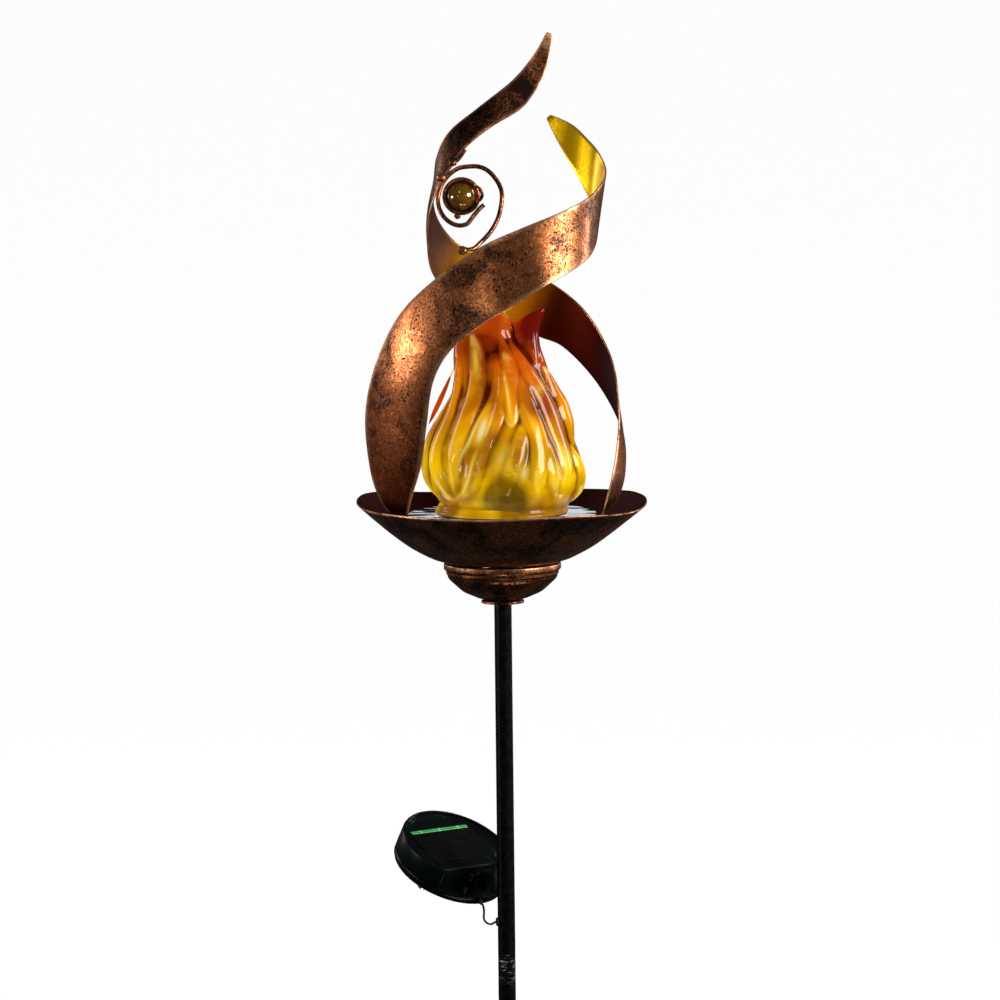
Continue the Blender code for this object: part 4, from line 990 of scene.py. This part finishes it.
def pole(paint):
    """The two painted tubes and the joiner between them."""
    for name, node, body, low, high in (("upper_tube", "pole_upper", "head", 303.7, 500.0),
                                        ("lower_tube", "pole_lower", "ground_stake", 3.2, 302.3)):
        line = [(3.9, high)] + [(4.8, z) for z in np.linspace(high, low, 60)] + [(3.9, low), (3.9, high)]
        tube = lathe(line, 64, 0.25)
        points = coordinates(tube) / MM
        add_attribute(tube, "wear", held(1 - np.abs(points[:, 2] - 298.0) / 9.0))
        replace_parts(put_in_scene(name, tube, paint, body), node)
    collar = lathe([(2.9, 317), (3.8, 317), (3.8, 303.4), (4.8, 303.4), (4.8, 302.6), (3.8, 302.6),
                    (3.8, 263), (2.9, 263), (2.9, 317)], 64, 0.15)
    add_attribute(collar, "wear", np.ones(len(collar.vertices)))
    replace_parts(put_in_scene("tube_joiner", collar, paint, "sleeve"), "coupling_sleeve")


# ---------------- solar panel

PANEL_AZIMUTH = radians(132)
PANEL_TILT = radians(31)
PANEL_R = 32.5
PANEL_MID_Y = 24.0
PANEL_CHORD = 4.0
CABLE_ROUTE = (
    (-13.17, 10.15, 331.11), (-12.7, 9.3, 330.3), (-12.3, 6.2, 328.6), (-12.3, 2.2, 327.2),
    (-12.5, -2.2, 326.1), (-12.4, -6, 325.1), (-11.5, -8.6, 324), (-10, -9.2, 323.1),
    (-8.6, -7.4, 322.5), (-7.6, -4.5, 322.4), (-6.9, -2.4, 322.7), (-5.70, -1.53, 323),
)


def round_edges(thing, width, segments, angle):
    edge = thing.modifiers.new("edges", "BEVEL")
    edge.width = width * MM
    edge.segments = segments
    edge.limit_method = "ANGLE"
    edge.angle_limit = radians(angle)
    edge.harden_normals = True


def panel_place():
    """From the panel's own axes, x along the pivot and z out of its face, to the model's."""
    away = Vector((cos(PANEL_AZIMUTH), sin(PANEL_AZIMUTH), 0.0))
    up = Vector((0.0, 0.0, 1.0))
    along = away * cos(PANEL_TILT) + up * sin(PANEL_TILT)
    normal = up * cos(PANEL_TILT) - away * sin(PANEL_TILT)
    turn = Matrix((along.cross(normal), along, normal)).transposed().to_4x4()
    return Matrix.Translation(away * 20.0 * MM + up * 346.6 * MM) @ turn


def d_loop(inset, level):
    """One level outline of the D-shaped housing, moved inwards by inset, in millimetres."""
    radius = PANEL_R - inset
    chord = PANEL_CHORD + inset
    start = asin((chord - PANEL_MID_Y) / radius)
    arc = [(radius * cos(a), PANEL_MID_Y + radius * sin(a))
           for a in np.linspace(start, pi - start, 110)]
    across = [(x, chord) for x in np.linspace(arc[-1][0], arc[0][0], 24)[1:-1]]
    return [(x * MM, y * MM, level * MM) for x, y in arc + across]


def panel_piece(name, mesh, material, node, smooth=35.0, bevel=0.0):
    made = put_in_scene(name, mesh, material, "panel", smooth)
    made.matrix_world = panel_place()
    if bevel:
        round_edges(made, bevel, 3, 40)
    if node:
        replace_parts(made, node)
    return made


def panel(plastic, cell, window, strip, relief):
    """The housing, window, cell with its board's edge, and the cable's strain relief."""
    levels = ((3.2, 0.3), (3, 0.35), (3, 1.3), (2, 1.35), (1.95, 3.2), (1.8, 3.5), (1.5, 3.66),
              (1.1, 3.62), (0.6, 3.3), (0.2, 2.7), (0, 1.9), (0, -2), (0, -8.4), (0.12, -8.75),
              (0.4, -8.9), (1.8, -8.9), (1.8, -0.3))
    shell = grid_mesh([d_loop(*level) for level in levels])
    panel_piece("housing_shell", shell, plastic, "panel_housing", 40.0, 0.5)
    sheet = grid_mesh([d_loop(2.5, 1.6), d_loop(2.25, 1.75), d_loop(2.25, 2.5), d_loop(2.45, 2.7)])
    panel_piece("window_sheet", sheet, window, "panel_window", 30.0)
    half_x, half_y = 21.8, 14.0
    rings = []
    for inset, level in ((0.15, 0.4), (0.0, 0.5), (0.0, 1.1), (0.15, 1.2)):
        x, y = half_x - inset, half_y - inset
        rings.append([(sx * x * MM, (29.4 + sy * y) * MM, level * MM)
                      for sx, sy in ((-1, -1), (1, -1), (1, 1), (-1, 1))])
    panel_piece("cell_wafer", grid_mesh(rings), cell, "solar_cell", 30.0)
    bar = []
    for x, size in ((-20.6, 0.5), (-20.0, 1.0), (20.0, 1.0), (20.6, 0.5)):
        bar.append([(x * MM, (41.3 + size * 1.35 * cos(a)) * MM, (1.22 + 0.16 * size * sin(a)) * MM)
                    for a in turns(24)])
    panel_piece("cell_strip", grid_mesh(bar), strip, None, 60.0)

    profile = [(0.0, 5.0), (1.3, 5.0), (1.3, -0.4)]
    for z in (-0.8, -1.4, -2.0, -2.6):
        rib = 1.35 + 0.16 * z
        profile += [(rib, z + 0.12), (rib, z - 0.12), (1.12 + 0.14 * z, z - 0.22)]
    profile += [(0.72, -3.1), (0.5, -3.2), (0.0, -3.2)]
    sleeve = lathe(profile, 48, 0.1)
    gland = put_in_scene("cable_relief", sleeve, relief, "panel", 50.0)
    seat = Matrix.Translation(Vector((-3.0, -7.6, -11.4)) * MM) @ Matrix.Rotation(-pi / 2, 4, "X")
    gland.matrix_world = panel_place() @ seat
    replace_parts(gland, "cable_gland")


def panel_cable(skin):
    """The short lead that loops from the panel's base into the pole."""
    count = 60
    drawn = smooth_route(CABLE_ROUTE, count)
    to_end = np.minimum(np.arange(count), np.arange(count)[::-1])
    hold = held(to_end / 8.0)[:, None]
    route = (drawn * (1 - hold) + blurred_rows(drawn, 4) * hold) * MM
    made = new_object("panel_lead", tube_mesh(route, 0.6 * MM, 14))
    made.data.materials.append(skin)
    made.data.shade_smooth()
    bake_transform(made)
    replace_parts(made, "panel_cable")


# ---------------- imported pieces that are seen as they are

SOFTENED = ("panel_base", "panel_bracket", "pole_flange", "ground_fork", "fork_stub", "pivot_bolt",
            "pivot_nut", "battery_door", "bracket_screw_upper", "bracket_screw_lower", "cable_grommet",
            "switch_body", "switch_slider")


def soften(thing):
    """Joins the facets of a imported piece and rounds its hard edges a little."""
    weld = thing.modifiers.new("weld", "WELD")
    weld.merge_threshold = 0.01 * MM
    flat = thing.modifiers.new("flat", "DECIMATE")
    flat.decimate_type = "DISSOLVE"
    flat.angle_limit = radians(0.8)
    round_edges(thing, 0.25, 2, 30)


# ---------------- studio

# Name, place, what it is turned to, size and power
SOFTBOXES = (
    ("left_box", (-1.58, -0.32, 0.62), (0, 0, 0.62), (0.45, 0.36), 9),
    ("back_left_box", (-1.3, 1.0, 1.0), (0, 0, 0.62), (0.4, 1.0), 5),
    ("right_box", (1.42, -0.72, 1.05), (0, 0, 0.62), (0.85, 0.6), 36),
    ("back_right_box", (1.4, 0.8, 0.9), (0, 0, 0.62), (0.3, 1.0), 10),
    ("front_strip", (-0.5, -1.5, 1.9), (0, 0, 0.6), (0.25, 0.25), 2),
    ("glint_left", (-0.7, -1.5, 0.85), (0, 0, 0.6), (0.07, 0.07), 1.4),
    ("glint_right", (0.9, -1.4, 0.95), (0, 0, 0.6), (0.07, 0.07), 1.0),
    ("low_fill", (0.2, -0.5, -0.6), (0, 0, 0.56), (0.9, 0.35), 9),
)


def softbox(name, at, towards, size, power):
    data = bpy.data.lights.new(name, "AREA")
    data.shape = "RECTANGLE"
    data.size, data.size_y = size
    data.energy = power
    made = new_object(name, data)
    made.location = at
    made.rotation_euler = (Vector(towards) - Vector(at)).to_track_quat("-Z", "Y").to_euler()
    made.visible_camera = False


def studio():
    """White to the camera and dim to the object, a pale floor, and the lamps."""
    scene = bpy.context.scene
    scene.view_settings.view_transform = "Standard"
    world = bpy.data.worlds.new("studio")
    scene.world = world
    world.use_nodes = True
    tree = world.node_tree
    seen = tree.nodes["Background"]
    seen.inputs["Color"].default_value = (1.0, 1.0, 1.0, 1.0)
    dim = tree.nodes.new("ShaderNodeBackground")
    dim.inputs["Color"].default_value = (0.035, 0.035, 0.038, 1.0)
    choose = tree.nodes.new("ShaderNodeMixShader")
    path = tree.nodes.new("ShaderNodeLightPath")
    tree.links.new(path.outputs["Is Camera Ray"], choose.inputs[0])
    tree.links.new(dim.outputs[0], choose.inputs[1])
    tree.links.new(seen.outputs[0], choose.inputs[2])
    tree.links.new(choose.outputs[0], tree.nodes["World Output"].inputs[0])

    work = bmesh.new()
    bmesh.ops.create_circle(work, cap_ends=True, segments=96, radius=30.0)
    mesh = new_mesh("floor", work)
    floor = new_object("floor", mesh)
    floor.location.z = CAD_LOW.z - 0.5 * MM
    s = Surface("floor", Roughness=0.9)
    s.set(Base_Color=s.mix(s.noise(3.0), (0.80, 0.80, 0.80), (0.84, 0.84, 0.84)))
    s.set(Emission_Color=WHITE, Emission_Strength=0.95)
    mesh.materials.append(s.material)
    floor.visible_glossy = False
    floor.visible_diffuse = False

    for row in SOFTBOXES:
        softbox(*row)


# ---------------- all together

copper = bronze("copper_bronze", foot_shaded=True)
inside = lacquer()
# A material for each slot in the record
SLOTS = {
    "bronze": bronze("dark_bronze", 0.08), "black_paint": black_paint(), "black_plastic": black_plastic(),
    "steel": steel(), "rubber": rubber(), "chrome": chrome(), "solar_cell": solar_cell(),
    "clear_plastic": clear_window(), "amber_glass": flame_glass(),
    "circuit_board": plain_detail("circuit_board", (0.01, 0.10, 0.03), (0.02, 0.2, 0.07), 300, 0.4),
    "battery_wrap": plain_detail("battery_wrap", (0.05, 0.22, 0.08), (0.1, 0.34, 0.12), 120, 0.3),
    "led_lens": plain_detail("led_lens", (0.9, 0.75, 0.4), (0.95, 0.85, 0.6), 200, 0.12),
    # The diffuser's near-black colour is painted shade: it sits unlit inside the glass.
    "diffuser": plain_detail("led_dome", (0.02, 0.018, 0.004), (0.045, 0.04, 0.008), 150, 0.3),
    "cable_skin": plain_detail("wire_skin", (0.008, 0.008, 0.009), (0.02, 0.02, 0.02), 700, 0.4),
}
make_camera()
panel_cable(plain_detail("cable_skin", (0.002, 0.002, 0.002), (0.006, 0.006, 0.006), 700, 0.4))
head(copper, SLOTS["bronze"], inside, SLOTS["amber_glass"], marble_glass(), SLOTS["chrome"])
pole(SLOTS["black_paint"])
panel(SLOTS["black_plastic"], SLOTS["solar_cell"], SLOTS["clear_plastic"], green_strip(), SLOTS["rubber"])

slot_of = {entry["node"]: entry["material_slot"] for entry in frame["record"]["subparts"]}
for node, thing in frame["nodes"].items():
    thing.data.materials.clear()
    thing.data.materials.append(SLOTS[slot_of[node]])
    thing.data.shade_smooth()
    thing.data.set_sharp_from_angle(angle=radians(32))
    if node in SOFTENED:
        soften(thing)

studio()
